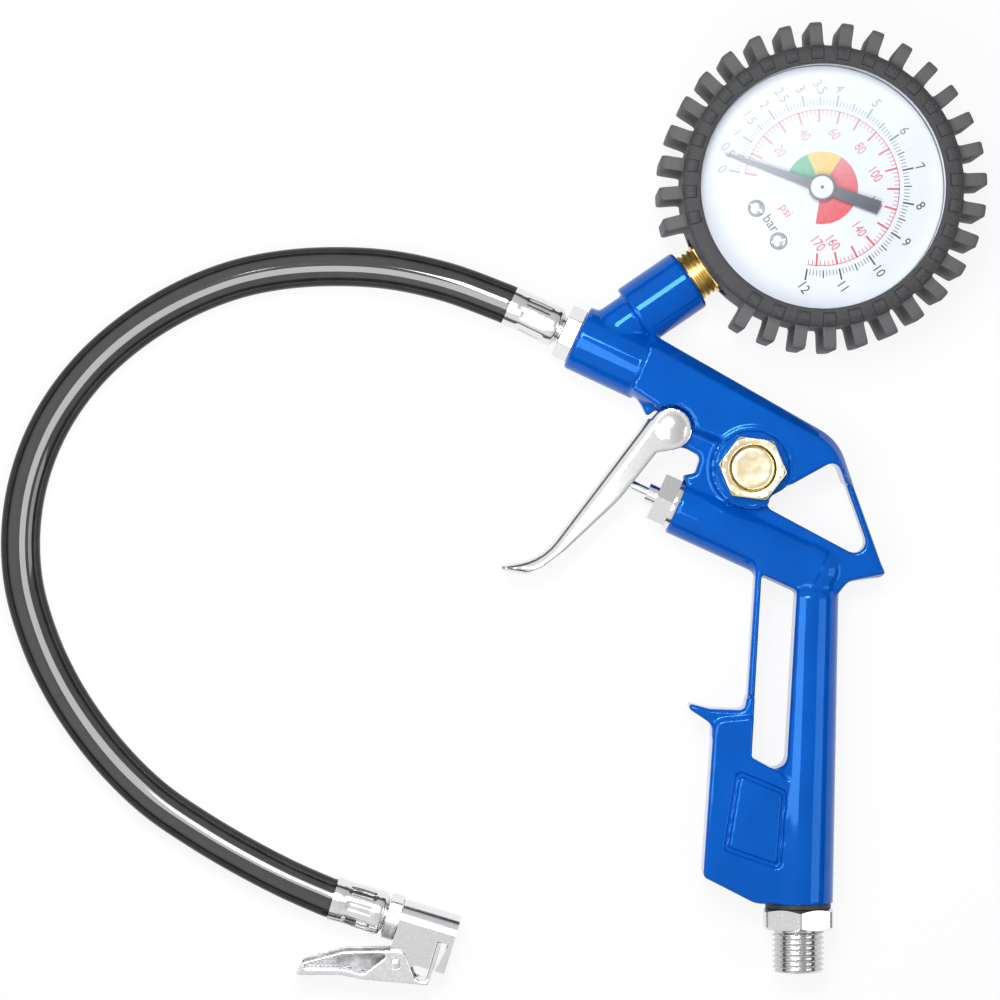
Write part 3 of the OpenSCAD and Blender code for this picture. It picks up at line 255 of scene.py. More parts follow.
greyEnamel = finish("greyEnamel", ((0.035, 0.045, 0.06), (0.055, 0.065, 0.085)), (0.3, 0.4), grain=500.0)
whiteCap = finish("whiteCap", ((0.84, 0.84, 0.84), (0.9, 0.9, 0.9)), (0.15, 0.25), grain=400.0)
blackInk = finish("blackInk", ((0.012, 0.012, 0.014), (0.025, 0.025, 0.028)), (0.5, 0.6), grain=900.0)
redInk = finish("redInk", ((0.76, 0.06, 0.08), (0.84, 0.09, 0.11)), (0.5, 0.6), grain=900.0)
yellowInk = finish("yellowInk", ((0.90, 0.58, 0.10), (0.94, 0.64, 0.14)), (0.5, 0.6), grain=900.0)
greenInk = finish("greenInk", ((0.06, 0.44, 0.2), (0.09, 0.5, 0.25)), (0.5, 0.6), grain=900.0)

# The hose's gloss lies on its crown and fades down its sides.
hoseTree = hoseRubber.node_tree
facing = addNode(hoseTree, "LayerWeight", {"Blend": 0.5})
gloss = mapRange(hoseTree, facing.outputs["Facing"], 0.12, 0.42, 1.0, 0.12)
hoseTree.links.new(gloss, hoseTree.nodes["Principled BSDF"].inputs["Coat Weight"])


# Where a point of the surface lies from the gauge's hub.
def fromHub(tree):
    away = addNode(tree, "VectorMath", {1: (*toScene(gaugeAt), 0.0)}, operation="SUBTRACT")
    connect(tree, (addNode(tree, "TexCoord").outputs["Object"], away.inputs[0]))
    return away.outputs[0]


# Leads a material's colour over to a paler one by an amount.
def makePaler(material, amount, colour):
    tree = material.node_tree
    shader = tree.nodes["Principled BSDF"]
    mix = addNode(tree, "Mix", data_type="RGBA")
    mix.inputs[7].default_value = (*colour, 1)
    connect(tree, (amount, mix.inputs[0]), (shader.inputs["Base Color"].links[0].from_socket, mix.inputs[6]),
            (mix.outputs[2], shader.inputs["Base Color"]))


# The boot's teeth are paler than its ring, from a radius about the gauge's axis.
toothTone = {"from": 0.0336, "to": 0.0360, "share": 0.27, "tone": (0.24, 0.24, 0.25)}
bootTree = bootRubber.node_tree
levelled = addNode(bootTree, "VectorMath", {1: (1, 1, 0)}, operation="MULTIPLY")
fromAxis = addNode(bootTree, "VectorMath", operation="LENGTH")
connect(bootTree, (fromHub(bootTree), levelled.inputs[0]), (levelled.outputs[0], fromAxis.inputs[0]))
makePaler(bootRubber, mapRange(bootTree, fromAxis.outputs["Value"], toothTone["from"], toothTone["to"], 0.0,
                               toothTone["share"]), toothTone["tone"])

# Clear window: light goes straight through, and a small share is mirrored, more at a glancing angle.
window = {"tint": (0.975, 0.985, 1.0, 1.0), "rough": 0.22, "steepness": 5.0, "headOn": 0.022, "edgeOn": 0.6}
clearGlass = bpy.data.materials.new("clearWindow")
clearGlass.use_nodes = True
glassTree = clearGlass.node_tree
seeThrough = addNode(glassTree, "BsdfTransparent", {"Color": window["tint"]})
mirror = addNode(glassTree, "BsdfGlossy", {"Roughness": window["rough"]})
edgeOn = addNode(glassTree, "LayerWeight", {"Blend": 0.5})
steep = addNode(glassTree, "Math", {1: window["steepness"]}, operation="POWER")
blendGlass = addNode(glassTree, "MixShader")
connect(glassTree, (edgeOn.outputs["Facing"], steep.inputs[0]),
        (mapRange(glassTree, steep.outputs[0], 0.0, 1.0, window["headOn"], window["edgeOn"]),
         blendGlass.inputs[0]),
        (seeThrough.outputs[0], blendGlass.inputs[1]), (mirror.outputs[0], blendGlass.inputs[2]),
        (blendGlass.outputs[0], glassTree.nodes["Material Output"].inputs["Surface"]))

# Painted glare: the print on the dial and the pointer is made paler along one direction, standing in for a
# veil of glare.
paintedGlare = {"towards": (-0.5, 0.86, 0.0), "from": -0.012, "to": 0.016, "tone": (0.80, 0.83, 0.88)}


def paintGlareOnInk(material, share):
    tree = material.node_tree
    along = addNode(tree, "VectorMath", {1: paintedGlare["towards"]}, operation="DOT_PRODUCT")
    tree.links.new(fromHub(tree), along.inputs[0])
    amount = mapRange(tree, along.outputs["Value"], paintedGlare["from"], paintedGlare["to"], 0.0, share, "SMOOTHSTEP")
    makePaler(material, amount, paintedGlare["tone"])


# Painted glare on the inks and on the pointer's enamel.
for ink, share in ((blackInk, 0.6), (redInk, 0.5), (greenInk, 0.35), (yellowInk, 0.3), (greyEnamel, 0.4)):
    paintGlareOnInk(ink, share)

slotFinish = {"blue_paint": bluePaint, "plated": brightPlate, "sheet": sheetSteel,
              "spring_steel": springSteel, "brass": goldBrass, "rubber": sealRubber,
              "hose_black": hoseRubber, "clear": clearGlass, "dial_white": dialEnamel,
              "pointer_grey": greyEnamel, "cap_white": whiteCap}
ownFinish = {"bleed_nut": paleBrass, "bleed_button": paleBrass, "gauge_case": sheetSteel,
             "gauge_boot": bootRubber, "valve_gland": satinPlate, "hose_fitting": satinPlate}
for part in frame["record"]["subparts"]:
    node = nodes[part["node"]]
    node.data.materials.clear()
    node.data.materials.append(ownFinish.get(part["node"], slotFinish[part["material_slot"]]))
print("finishes made")


# Hose: a round tube along a smooth curve through the route's points, its ends sunk in the ferrules.
hoseValues = {"diameter": 9.9, "around": 32, "perSpan": 8, "gunEnd": fittingFace + ferruleLength,
              "sink": 5.0}
hoseRoute = [  # x, y from the outlet, and how far the underside is off the table
    [-19, 8.8, 4.8], [-32, 13.6, 4.1], [-46, 16.8, 2.7], [-60, 17.8, 1.2],
    [-74, 17, 0.3], [-87, 14.2, 0.05], [-100, 8.8, 0.05], [-112.1, 1.2, 0.05],
    [-122.8, -8.5, 0.05], [-131.4, -20.4, 0.05], [-137, -33.6, 0.05], [-139.5, -47.5, 0.05],
    [-138.9, -61.5, 0.05], [-135.2, -74.9, 0.05], [-129.7, -87, 0.05], [-122.7, -98, 0.05],
    [-114.6, -107.8, 0.1], [-105.6, -116.2, 0.2], [-95.4, -123.2, 0.5], [-84.6, -129.6, 1],
    [-73, -135.6, 1.6], [-63, -140, 1.8],
]


# Catmull-Rom curve: each span's point is a cubic blend of the four route points around it.
def smoothPath(points, perSpan):
    a, b, c, d = points[:-3], points[1:-2], points[2:-1], points[3:]
    t = np.linspace(0, 1, perSpan, endpoint=False)[None, :, None]
    a, b, c, d = (q[:, None, :] for q in (a, b, c, d))
    cubic = (2 * a - 5 * b + 4 * c - d) * t**2 + (3 * b - a - 3 * c + d) * t**3
    curve = 0.5 * (2 * b + (c - a) * t + cubic)
    return np.vstack([curve.reshape(-1, 3), points[-2:-1]])


# A ring round each path point: across is level, up is square to it and to the path.
def sweep(path, radius, columns):
    ahead = unitRows(np.gradient(path, axis=0))
    across = unitRows(np.cross([0.0, 0.0, 1.0], ahead))
    up = np.cross(ahead, across)
    angle = roundAngles(columns)[None, :, None]
    radius = np.broadcast_to(np.asarray(radius, float).reshape(-1, 1, 1), (len(path), 1, 1))
    return path[:, None, :] + radius * (np.cos(angle) * across[:, None, :] + np.sin(angle) * up[:, None, :])


hoseStart = -hoseValues["gunEnd"] * barrelIn
route = np.array([[x, y, lift + hoseValues["diameter"] / 2] for x, y, lift in hoseRoute])
gunMouth = np.array([*hoseStart, midZ])
chuckMouth = np.array([*chuckAt, chuckZ])
inGun = gunMouth + hoseValues["sink"] * np.array([*barrelIn, 0])
inChuck = chuckMouth + hoseValues["sink"] * np.array([*chuckIn, 0])
hosePath = smoothPath(np.vstack([inGun, gunMouth, route, chuckMouth, inChuck]), hoseValues["perSpan"])
skin = sweep(hosePath, hoseValues["diameter"] / 2, hoseValues["around"])
skin = np.concatenate([np.repeat(hosePath[:1, None, :], hoseValues["around"], 1), skin,
                       np.repeat(hosePath[-1:, None, :], hoseValues["around"], 1)])
hose = addGrid("air_hose", skin, hoseRubber, "hose_black", "gun", ["hose"])
# Length of the whole drawn path, with the two ends inside the ferrules.
visibleLength = float(np.linalg.norm(np.diff(toScene(hosePath), axis=0), axis=1).sum())
print("hose made, length %.4f m" % visibleLength)

# Casting: one smooth skin at distance zero from a blend of plates and round bars.
casting = {"grid": 0.6, "bodyHalf": 8.6, "shoulder": 3.4, "webHalf": 4.6, "webEdge": 1.2, "gripHalf": 5.4,
           "footHalf": 7.6, "footEdge": 0.9, "spikeIn": 0.8, "edge": 1.1, "barrelR": 8.3,
           "barrelLength": 19.0, "lugR": 4.5, "headR": 5.9, "pinR": 2.1, "neckR": 6.2, "neckFrom": -29.0,
           "neckTo": -12.0, "endR": 8.0, "endLength": 16.4, "valveR": 7.3, "valveLength": 39.0,
           "valveBeyond": 6.6, "valveCap": 2.0, "domeR": 6.7, "bossR": 10.2, "bossSunk": 0.15,
           "spotR": 9.3, "spotDepth": 0.6, "skirtR": 6.85, "skirtLow": 3.6, "chamberR": 4.5,
           "chamberZ": 2.0, "chamberHalf": 7.0, "grooveIn": 0.6, "grooveHalf": 0.55, "grooveDepth": 0.75}
spur = {"at": (58.0, -55.6), "run": (18.2, -3.4), "rootR": 6.2, "tipR": 0.9, "rim": 0.5}
airTube = {"top": (58.0, -62.0), "topR": 7.4, "footR": 8.8, "beyond": 4.5, "rim": 3.4}
fillets = {"lug": 0.4, "webWindow": 0.8, "barrel": 0.7, "head": 0.4, "neck": 0.3, "branch": 0.7, "web": 0.7,
           "valve": 0.5, "spur": 1.5, "boss": 1.0, "foot": 0.6, "airTube": 0.5, "spike": 0.7, "slot": 0.8,
           "grip": 1.8, "window": 1.2, "groove": 0.5, "spot": 0.3}
spineOutline = [[12.7, -13.8, 1], [27.2, -23.2, 2], [37.8, -27.8, 2], [44.3, -38, 2], [62, -37.5, 1],
                [68.8, -37.2, 1], [65, -25.8, 13], [18.6, 0.7, 1]]
panelOutline = [[13.6, -13.0, 0.3], [27.3, -21.9, 1], [38.6, -26.6, 1.5], [45, -36.9, 1.5], [62, -36.7, 1],
                [67.2, -36.4, 1], [63.6, -27.4, 12], [18.1, -2.5, 0.3]]
webOutline = [[14, -14.2, 0.5], [16, -17.2, 1], [17.3, -19.9, 0.5], [19.3, -18.5, 2], [21.1, -17.6, 0.5],
              [22.5, -27, 0.5], [27.2, -28, 0.8], [30.7, -29.9, 1.5], [29.3, -34, 0.8], [26.4, -34.6, 0.4],
              [27.5, -40, 1], [60, -58, 1], [65.2, -63.9, 0.3], [67.6, -61.1, 3], [76.9, -59.2, 0.4],
              [75.7, -56.5, 2], [68.6, -36.6, 1], [62, -27, 2], [25, -6, 2]]
windowOutline = [[45.4, -41.3, 2], [73.55, -56.35, 2.5], [64.4, -30.75, 2.2]]
gripOutline = [[44.6, -55, 3], [42.2, -92.5, 2.2], [40, -120, 3], [55, -120, 3], [56, -62, 1.5], [56, -56, 3]]
footOutline = [[33.9, -95.4, 3], [31.2, -134.4, 1.5], [44.3, -141.1, 6], [56.5, -141.3, 0.5], [57, -112, 2],
               [52, -109.9, 0.5], [46, -104, 0.5], [45, -94.4, 0.5]]
spikeOutline = [[42.2, -89, 1.5], [41.6, -93, 1.5], [33, -92.7, 6], [27.4, -91.2, 0.6], [28, -92.9, 1],
                [33.6, -96.6, 3], [33.4, -100, 1], [44, -104, 1], [45, -90, 1]]
slotOutline = [[43.3, -104.7, 0.6], [51.9, -109.45, 3], [54.55, -63.1, 1.2], [45.9, -59.1, 0.6]]
frameOutline = [[36.25, -127.75, 1.5], [50.5, -132.75, 1.5], [52, -113, 1.5], [39.5, -107.75, 1.5]]


# Corner points and arcs of an outline given as [x, y, rounding radius].
def roundedOutline(corners, steps=6):
    corners = np.array(corners, float)
    p, r = corners[:, :2], corners[:, 2]
    back = unitRows(np.roll(p, 1, 0) - p)
    on = unitRows(np.roll(p, -1, 0) - p)
    half = np.arccos(np.clip((back * on).sum(1), -1, 1)) / 2
    centre = p + unitRows(back + on) * (r / np.sin(half))[:, None]
    first = p + back * (r / np.tan(half))[:, None] - centre
    last = p + on * (r / np.tan(half))[:, None] - centre
    a = np.arctan2(first[:, 1], first[:, 0])
    turn = np.arctan2(last[:, 1], last[:, 0]) - a
    turn = (turn + np.pi) % (2 * np.pi) - np.pi
    angle = a[:, None] + turn[:, None] * np.linspace(0, 1, steps)[None, :]
    arc = centre[:, None, :] + r[:, None, None] * np.stack([np.cos(angle), np.sin(angle)], -1)
    return arc.reshape(-1, 2)


# Signed distance of flat points to an outline: the nearest edge's distance, negative inside.
def outlineDistance(x, y, corners):
    loop = roundedOutline(corners)
    nearest = np.full(x.shape, 1e9)
    inside = np.zeros(x.shape, bool)
    for (ax, ay), (bx, by) in zip(loop, np.roll(loop, -1, 0)):
        ex, ey = bx - ax, by - ay
        if ex * ex + ey * ey < 1e-12:
            continue
        t = np.clip(((x - ax) * ex + (y - ay) * ey) / (ex * ex + ey * ey), 0, 1)
        nearest = np.minimum(nearest, (x - ax - t * ex) ** 2 + (y - ay - t * ey) ** 2)
        if ey != 0:
            crosses = ((ay > y) != (by > y)) & (x < ax + (y - ay) * ex / ey)
            inside ^= crosses
    return np.where(inside, -1, 1) * np.sqrt(nearest)


# How far points are from an upright axis, seen from above.
def fromUpright(x, y, at):
    return np.hypot(x - at[0], y - at[1])


# Distance to the rounded corner between two faces; a and b are the distances to the faces, plus
# the rounding radius.
def cornerDistance(a, b, edge):
    return np.minimum(np.maximum(a, b), 0) + np.hypot(np.maximum(a, 0), np.maximum(b, 0)) - edge


# A plate about the mid-plane from its outline's distance, with edges rounded to a radius.
def plateDistance(flat, z, half, edge):
    return cornerDistance(flat + edge, np.abs(z) - half + edge, edge)


# A plate whose flat ends at an inner outline: from there its height falls to the outer outline.
def shoulderDistance(outer, inner, z, half, fall):
    t = np.clip(inner / np.maximum(inner - outer, 0.05), 0, 1)
    top = (np.abs(z) - half + fall * t) * 0.7
    h = np.maximum(0.5 - np.abs(outer - top), 0) / 0.5
    return np.maximum(outer, top) + h * h * 0.125


# A round bar from one end to the other, its radius running from r1 to r2, with rounded rims.
def barDistance(x, y, z, start, direction, low, high, r1, r2=None, rim=0.6):
    s = (x - start[0]) * direction[0] + (y - start[1]) * direction[1]
    h = (y - start[1]) * direction[0] - (x - start[0]) * direction[1]
    r2 = r1 if r2 is None else r2
    radius = r1 + (r2 - r1) * np.clip((s - low) / (high - low), 0, 1)
    a = np.hypot(h, z) - radius + rim
    b = np.abs(s - (low + high) / 2) - (high - low) / 2 + rim
    return cornerDistance(a, b, rim)


# The same bar along a run from its start, which it may pass by an amount.
def runDistance(x, y, z, start, run, beyond, r1, r2, rim):
    length = float(np.linalg.norm(run))
    return barDistance(x, y, z, start, np.array(run) / length, 0, length + beyond, r1, r2, rim)


# Union and cut with a fillet about k wide where the two meet.
def fuse(a, b, k):
    h = np.maximum(k - np.abs(a - b), 0) / k
    return np.minimum(a, b) - h * h * k / 4


def carve(a, b, k):
    h = np.maximum(k - np.abs(a + b), 0) / k
    return np.maximum(a, -b) + h * h * k / 4


# The casting's distance at points, from each outline's flat distance worked out beforehand.
def castingDistance(x, y, z, flat):
    c, k = casting, fillets
    height = np.abs(z)
    fromPin, fromBoss = fromUpright(x, y, pivot), fromUpright(x, y, bossAt)
    web = plateDistance(flat["web"], z, c["webHalf"], c["webEdge"])
    lug = np.maximum(fromPin - c["lugR"], height - c["webHalf"])
    web = carve(fuse(web, lug, k["lug"]), flat["window"], k["webWindow"])
    spine = shoulderDistance(flat["spine"], flat["panel"], z, c["bodyHalf"], c["shoulder"])
    barrel = barDistance(x, y, z, outlet, barrelIn, 0, c["barrelLength"], c["barrelR"], rim=0.8)
    upper = fuse(spine, barrel, k["barrel"])
    upper = carve(upper, np.maximum(fromPin - c["headR"], c["webHalf"] - height), k["head"])
    neck = barDistance(x, y, z, branchFace, branchOut, c["neckFrom"], c["neckTo"], c["neckR"])
    end = barDistance(x, y, z, branchFace, branchOut, -c["endLength"], 0, c["endR"], rim=0.5)
    upper = fuse(upper, fuse(neck, end, k["neck"]), k["branch"])
    body = fuse(web, upper, k["web"])
    valve = barDistance(x, y, z, valveFace, valveIn, 0, c["valveLength"] + c["valveBeyond"], c["valveR"],
                        rim=0.5)
    dome = np.sqrt((x - valveFace[0] - valveIn[0] * c["valveLength"]) ** 2
                   + (y - valveFace[1] - valveIn[1] * c["valveLength"]) ** 2 + z * z) - c["domeR"]
    s = (x - valveFace[0]) * valveIn[0] + (y - valveFace[1]) * valveIn[1]
    valve = np.where(s > c["valveLength"], dome, np.maximum(valve, s - c["valveLength"] - c["valveCap"]))
    body = fuse(body, valve, k["valve"])
    horn = runDistance(x, y, z, spur["at"], spur["run"], 0, spur["rootR"], spur["tipR"], spur["rim"])
    body = fuse(body, horn, k["spur"])
    boss = np.maximum(fromBoss - c["bossR"], height - c["bodyHalf"])
    body = fuse(body, boss + c["bossSunk"], k["boss"])
    grip = plateDistance(flat["grip"], z, c["gripHalf"], c["edge"])
    foot = plateDistance(flat["foot"], z, c["footHalf"], c["footEdge"])
    spike = plateDistance(flat["spike"], z, c["footHalf"] - c["spikeIn"], c["footEdge"])
    air = runDistance(x, y, z, airTube["top"], inletAt - airTube["top"], airTube["beyond"],
                      airTube["topR"], airTube["footR"], airTube["rim"])
    handle = fuse(fuse(grip, foot, k["foot"]), air, k["airTube"])
    handle = fuse(handle, spike, k["spike"])
    handle = carve(handle, flat["slot"], k["slot"])
    body = fuse(body, handle, k["grip"])
    body = carve(body, flat["window"], k["window"])
    groove = np.abs(flat["frame"] + c["grooveIn"]) - c["grooveHalf"]
    body = carve(body, np.maximum(groove, c["footHalf"] - c["grooveDepth"] - height), k["groove"])
    spot = np.maximum(fromBoss - c["spotR"], c["bodyHalf"] - c["spotDepth"] - z)
    body = carve(body, spot, k["spot"])
    body = np.maximum(body, inletAt[1] - y)
    for start, direction, low, high, radius in castingBores:
        body = np.maximum(body, -barDistance(x, y, z, start, direction, low, high, radius, rim=0.05))
    body = np.maximum(body, -np.maximum(fromBoss - c["skirtR"], c["skirtLow"] - z))
    chamber = np.maximum(fromBoss - c["chamberR"], np.abs(z - c["chamberZ"]) - c["chamberHalf"])
    body = np.maximum(body, -chamber)
    return np.maximum(body, c["pinR"] - fromPin)


castingBores = [  # start, direction, from, to, radius
    (outlet, barrelIn, -2, 9, 4.95), (outlet, barrelIn, -2, 46, 3.0), (branchFace, branchOut, -12, 2, 6.65),
    (valveFace, valveIn, -2, 38, 5.27), (valveFace, valveIn, -12, 0, 7.3),
    (inletAt, heading(-90), -12, 2, 6.65),
]


# Surface nets: a point in every grid cell that the surface crosses, at the mean of its edges'
# crossings, and a quad round every grid edge that it crosses. Newton steps then bring the points
# onto the surface along the distance's slope.
def netSkin(distance, outlines, low, high, step):
    xs = np.arange(low[0], high[0], step)
    ys = np.arange(low[1], high[1], step)
    layers = int(high[2] / step) + 1
    zs = (np.arange(-layers, layers) + 0.5) * step
    gx, gy = np.meshgrid(xs, ys, indexing="ij")
    flat = {name: outlineDistance(gx, gy, corners)[:, :, None] for name, corners in outlines.items()}
    field = distance(gx[:, :, None], gy[:, :, None], zs[None, None, :], flat)
    shape = field.shape
    cellShape = tuple(n - 1 for n in shape)
    total, count = np.zeros(cellShape + (3,)), np.zeros(cellShape)
    crossings = []
    for axis in range(3):
        first = [slice(0, n) for n in shape]
        last = [slice(0, n) for n in shape]
        first[axis], last[axis] = slice(0, shape[axis] - 1), slice(1, shape[axis])
        a, b = field[tuple(first)], field[tuple(last)]
        cut = (a < 0) != (b < 0)
        t = np.where(cut, a / np.where(a == b, 1, a - b), 0)
        crossings.append((cut, a < 0))
        others = [k for k in range(3) if k != axis]
        for du, dv in ((0, 0), (0, 1), (1, 0), (1, 1)):
            pick = [slice(None)] * 3
            pick[others[0]] = slice(du, shape[others[0]] - 1 + du)
            pick[others[1]] = slice(dv, shape[others[1]] - 1 + dv)
            hit, share = cut[tuple(pick)], t[tuple(pick)]
            count += hit
            total[..., axis] += np.where(hit, share, 0)
            total[..., others[0]] += np.where(hit, du, 0)
            total[..., others[1]] += np.where(hit, dv, 0)
    cells = np.argwhere(count > 0)
    number = np.full(cellShape, -1)
    number[tuple(cells.T)] = np.arange(len(cells))
    local = total[tuple(cells.T)] / count[tuple(cells.T)][:, None]
    points = np.array([xs[0], ys[0], zs[0]]) + (cells + local) * step
    quads = []
    for axis, (cut, lowInside) in enumerate(crossings):
        u, v = [(1, 2), (2, 0), (0, 1)][axis]
        where = np.argwhere(cut)
        keep = (where[:, u] > 0) & (where[:, v] > 0)
        keep &= (where[:, u] < shape[u] - 1) & (where[:, v] < shape[v] - 1)
        where = where[keep]
        corner = []
        for du, dv in ((1, 1), (0, 1), (0, 0), (1, 0)):
            cell = where.copy()
            cell[:, u] -= du
            cell[:, v] -= dv
            corner.append(number[tuple(cell.T)])
        face = np.stack(corner, 1)
        outward = ~lowInside[tuple(where.T)]
        face[outward] = face[outward][:, ::-1]
        quads.append(face)
    quads = np.concatenate(quads)

    def at(p):
        x, y, z = p.T
        near = {name: outlineDistance(x, y, corners) for name, corners in outlines.items()}
        return distance(x, y, z, near)

    eps = 0.02
    for _ in range(2):
        value = at(points)
        slope = np.stack([(at(points + np.eye(3)[k] * eps) - value) / eps for k in range(3)], 1)
        length2 = np.maximum((slope**2).sum(1), 0.25)
        points = points - np.clip(value / length2, -step / 2, step / 2)[:, None] * slope
    points[:, 2] += midZ
    return points, quads


castOutlines = {"web": webOutline, "spine": spineOutline, "panel": panelOutline, "window": windowOutline,
                "grip": gripOutline, "foot": footOutline, "spike": spikeOutline, "slot": slotOutline,
                "frame": frameOutline}
castPoints, castQuads = netSkin(castingDistance, castOutlines, (-9, -143.5, 0), (79.5, 33.5, 9.2),
                                casting["grid"])
addPiece("cast_body", castPoints, castQuads, bluePaint, "blue_paint", "gun", ["body_casting"],
         closed=False, angle=50)
print("casting made:", len(castPoints), "points")


# A copy of a node's mesh with its flat faces joined again, its edges rounded and its flats kept flat.
def soften(node, name, width, material, body, angle=30):
    mesh = nodes[node].data.copy()
    shell = bmesh.new()
    shell.from_mesh(mesh)
    bmesh.ops.remove_doubles(shell, verts=shell.verts, dist=1e-6)
    bmesh.ops.dissolve_limit(shell, angle_limit=math.radians(0.6), verts=shell.verts, edges=shell.edges)
    shell.to_mesh(mesh)
    shell.free()
    piece = addObject(name, mesh)
    sharpen(piece, angle)
    bevel = piece.modifiers.new("edges", "BEVEL")
    bevel.width = width * 0.001
    bevel.segments = 2
    bevel.limit_method = "ANGLE"
    bevel.angle_limit = math.radians(angle)
    bevel.use_clamp_overlap = True
    flats = piece.modifiers.new("flats", "WEIGHTED_NORMAL")
    flats.keep_sharp = False
    mesh.materials.clear()
    mesh.materials.append(material)
    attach(piece, body)
    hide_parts(node)
    return piece


# Turned work about an upright axis: row k at radius[k, a] and height[k, a].
def spun(at, radius, height, turn=0.0):
    radius, height = np.broadcast_arrays(np.asarray(radius, float), np.asarray(height, float))
    angle = np.radians(turn) + roundAngles(radius.shape[1])[None, :]
    return np.stack([at[0] + radius * np.cos(angle), at[1] + radius * np.sin(angle), height], -1)


# Column of profile points repeated round the axis.
def around(values, columns):
    return np.repeat(np.asarray(values, float)[:, None], columns, 1)


chuckBlock = soften("chuck_body", "chuck_block", 0.3, brightPlate, "gun")
soften("gauge_socket", "gauge_stem", 0.35, goldBrass, "gun")
soften("valve_gland", "gland_nut", 0.25, satinPlate, "gun")
soften("hose_fitting", "barbed_fitting", 0.3, satinPlate, "gun")
print("softened pieces made")

# Trigger: a pressed channel with a rounded front, open at its back.
trigger = {"half": 6.4, "wall": 1.3, "front": 3.0, "grid": 0.4, "hole": 2.05}
triggerOutline = [[-6.05, 2.5, 0.5], [-32.4, -32.1, 14], [-42.7, -34, 0.6], [-42.1, -35.5, 0.8],
                  [-36.4, -36.5, 2], [-31.8, -34.4, 6], [-26.2, -30.2, 20], [-13, -17.9, 30],
                  [-3.5, -5.9, 1], [6.18, -4.33, 5.1], [4.33, 6.18, 5.1], [-3.37, 4.81, 5.1],
                  [-4.7, 2.5, 0.2]]
frontOutline = [[6.07, 18.4, 1], [-32.4, -32.1, 14], [-42.7, -34, 0.6], [-42.1, -35.5, 0.8],
                [-36.4, -36.5, 2], [20, -60, 5], [30, 20, 5]]


# An outline given from the pin's middle, moved to its place.
def aboutPin(corners):
    return [[px + pivot[0], py + pivot[1], r] for px, py, r in corners]


# The front's rounded plate, cut off at the outline, less the same form one wall smaller.
def triggerDistance(x, y, z, flat):
    t = trigger
    form = plateDistance(flat["front"], z, t["half"], t["front"])
    body = carve(form, -flat["outline"], 0.5)
    body = np.maximum(body, -(form + t["wall"]))
    return np.maximum(body, t["hole"] - fromUpright(x, y, pivot))


triggerPoints, triggerQuads = netSkin(
    triggerDistance, {"outline": aboutPin(triggerOutline), "front": aboutPin(frontOutline)},
    (-21.5, -61.5, 0), (30.5, -15.5, 7.0), trigger["grid"])
addPiece("trigger_lever", triggerPoints, triggerQuads, brightPlate, "plated", "trigger", ["trigger"],
         closed=False, angle=50)
print("trigger made:", len(triggerPoints), "points")

# Pins: a shank between two domed heads.
triggerPin = {"shankR": 1.95, "headR": 3.9, "headLow": 6.5, "rise": 0.9, "columns": 48}
rivetPin = {"shankR": 0.9, "headR": 1.25, "headLow": 6.42, "rise": 0.38, "columns": 32}


# Half profile of the pin from its middle: shank, underside of the head, then an arc to the pole.
def domedPin(at, z, shankR, headR, headLow, rise, columns):
    arc = np.linspace(0, 1, 9)
    edge = 0.18
    sphere = (headR**2 + rise**2) / (2 * rise)
    top = math.asin(min(1, headR / sphere))
    bow = (np.cos(top * (1 - arc)) - math.cos(top)) / (1 - math.cos(top))
    r = np.concatenate([[shankR, shankR, headR - edge, headR],
                        headR * np.sin(top * (1 - arc)) / math.sin(top)])
    h = np.concatenate([[0, headLow, headLow, headLow + edge], headLow + edge + (rise - edge) * bow])
    radius = np.concatenate([r[::-1], r[1:]])
    height = np.concatenate([-h[::-1], h[1:]])
    return spun(at, around(radius, columns), z + around(height, columns))


addGrid("trigger_pivot", domedPin(pivot, midZ, **triggerPin), brightPlate, "plated", "gun", ["trigger_pin"])
chuckSide = np.array([-chuckIn[1], chuckIn[0]])
rivet = np.array([19.8, -10.6])
rivetAt = chuckAt + rivet[0] * chuckIn + rivet[1] * chuckSide
clipPin = addGrid("clip_rivet", domedPin(rivetAt, chuckZ, **rivetPin), brightPlate, "plated", "gun",
                  ["clip_pin"])
print("pins made")

# Clip arm: a pressed channel whose near side is open over the thumb, with a jaw across the chuck.
clip = {"half": 6.4, "sheet": 1.0, "edge": 0.3, "jawAt": 28.2, "jawHalf": 4.5, "jawFoot": -13.2,
        "jawTop": -2.3, "mouthR": 4.2, "openAbove": 1.0, "holeR": 0.95, "floorDrop": 4.9, "grid": 0.3}
clipOutline = [[-3.2, -20.4, 0.5], [7.1, -17.2, 12], [12.6, -16.7, 4], [29.0, -13.3, 0.4], [25.2, -12.4, 0.3],
               [23.1, -9.7, 1.5], [20.7, -6.5, 2.5], [17.3, -7.7, 1.2], [6.4, -11.3, 3], [4.6, -12.4, 1],
               [-2.7, -17, 0.5]]
clipFloor = [[-3.2, -20.4, 0.5], [7.1, -17.2, 12], [12.6, -16.7, 4], [29.0, -13.3, 0.3], [29.0, -12.3, 0.3],
             [12.6, -15.7, 5], [7.1, -16.2, 12], [-3.2, -19.4, 0.4]]
clipRoom = [[-8.2, -19.3, 0.01], [-3.2, -19.3, 0.01], [7.1, -16.2, 0.01], [12.6, -15.7, 0.01],
            [34.0, -11.26, 0.01], [34.0, 6.7, 0.01], [-8.2, 9.6, 0.01]]
clipOpening = [[-1.9, -18.2, 0.6], [7.1, -15.5, 12], [12.7, -15.3, 0.8], [17.4, -8.9, 0.6], [15.0, -9.2, 1],
               [6.6, -12.1, 3], [4.4, -13.4, 2], [-2.0, -17.3, 0.3]]


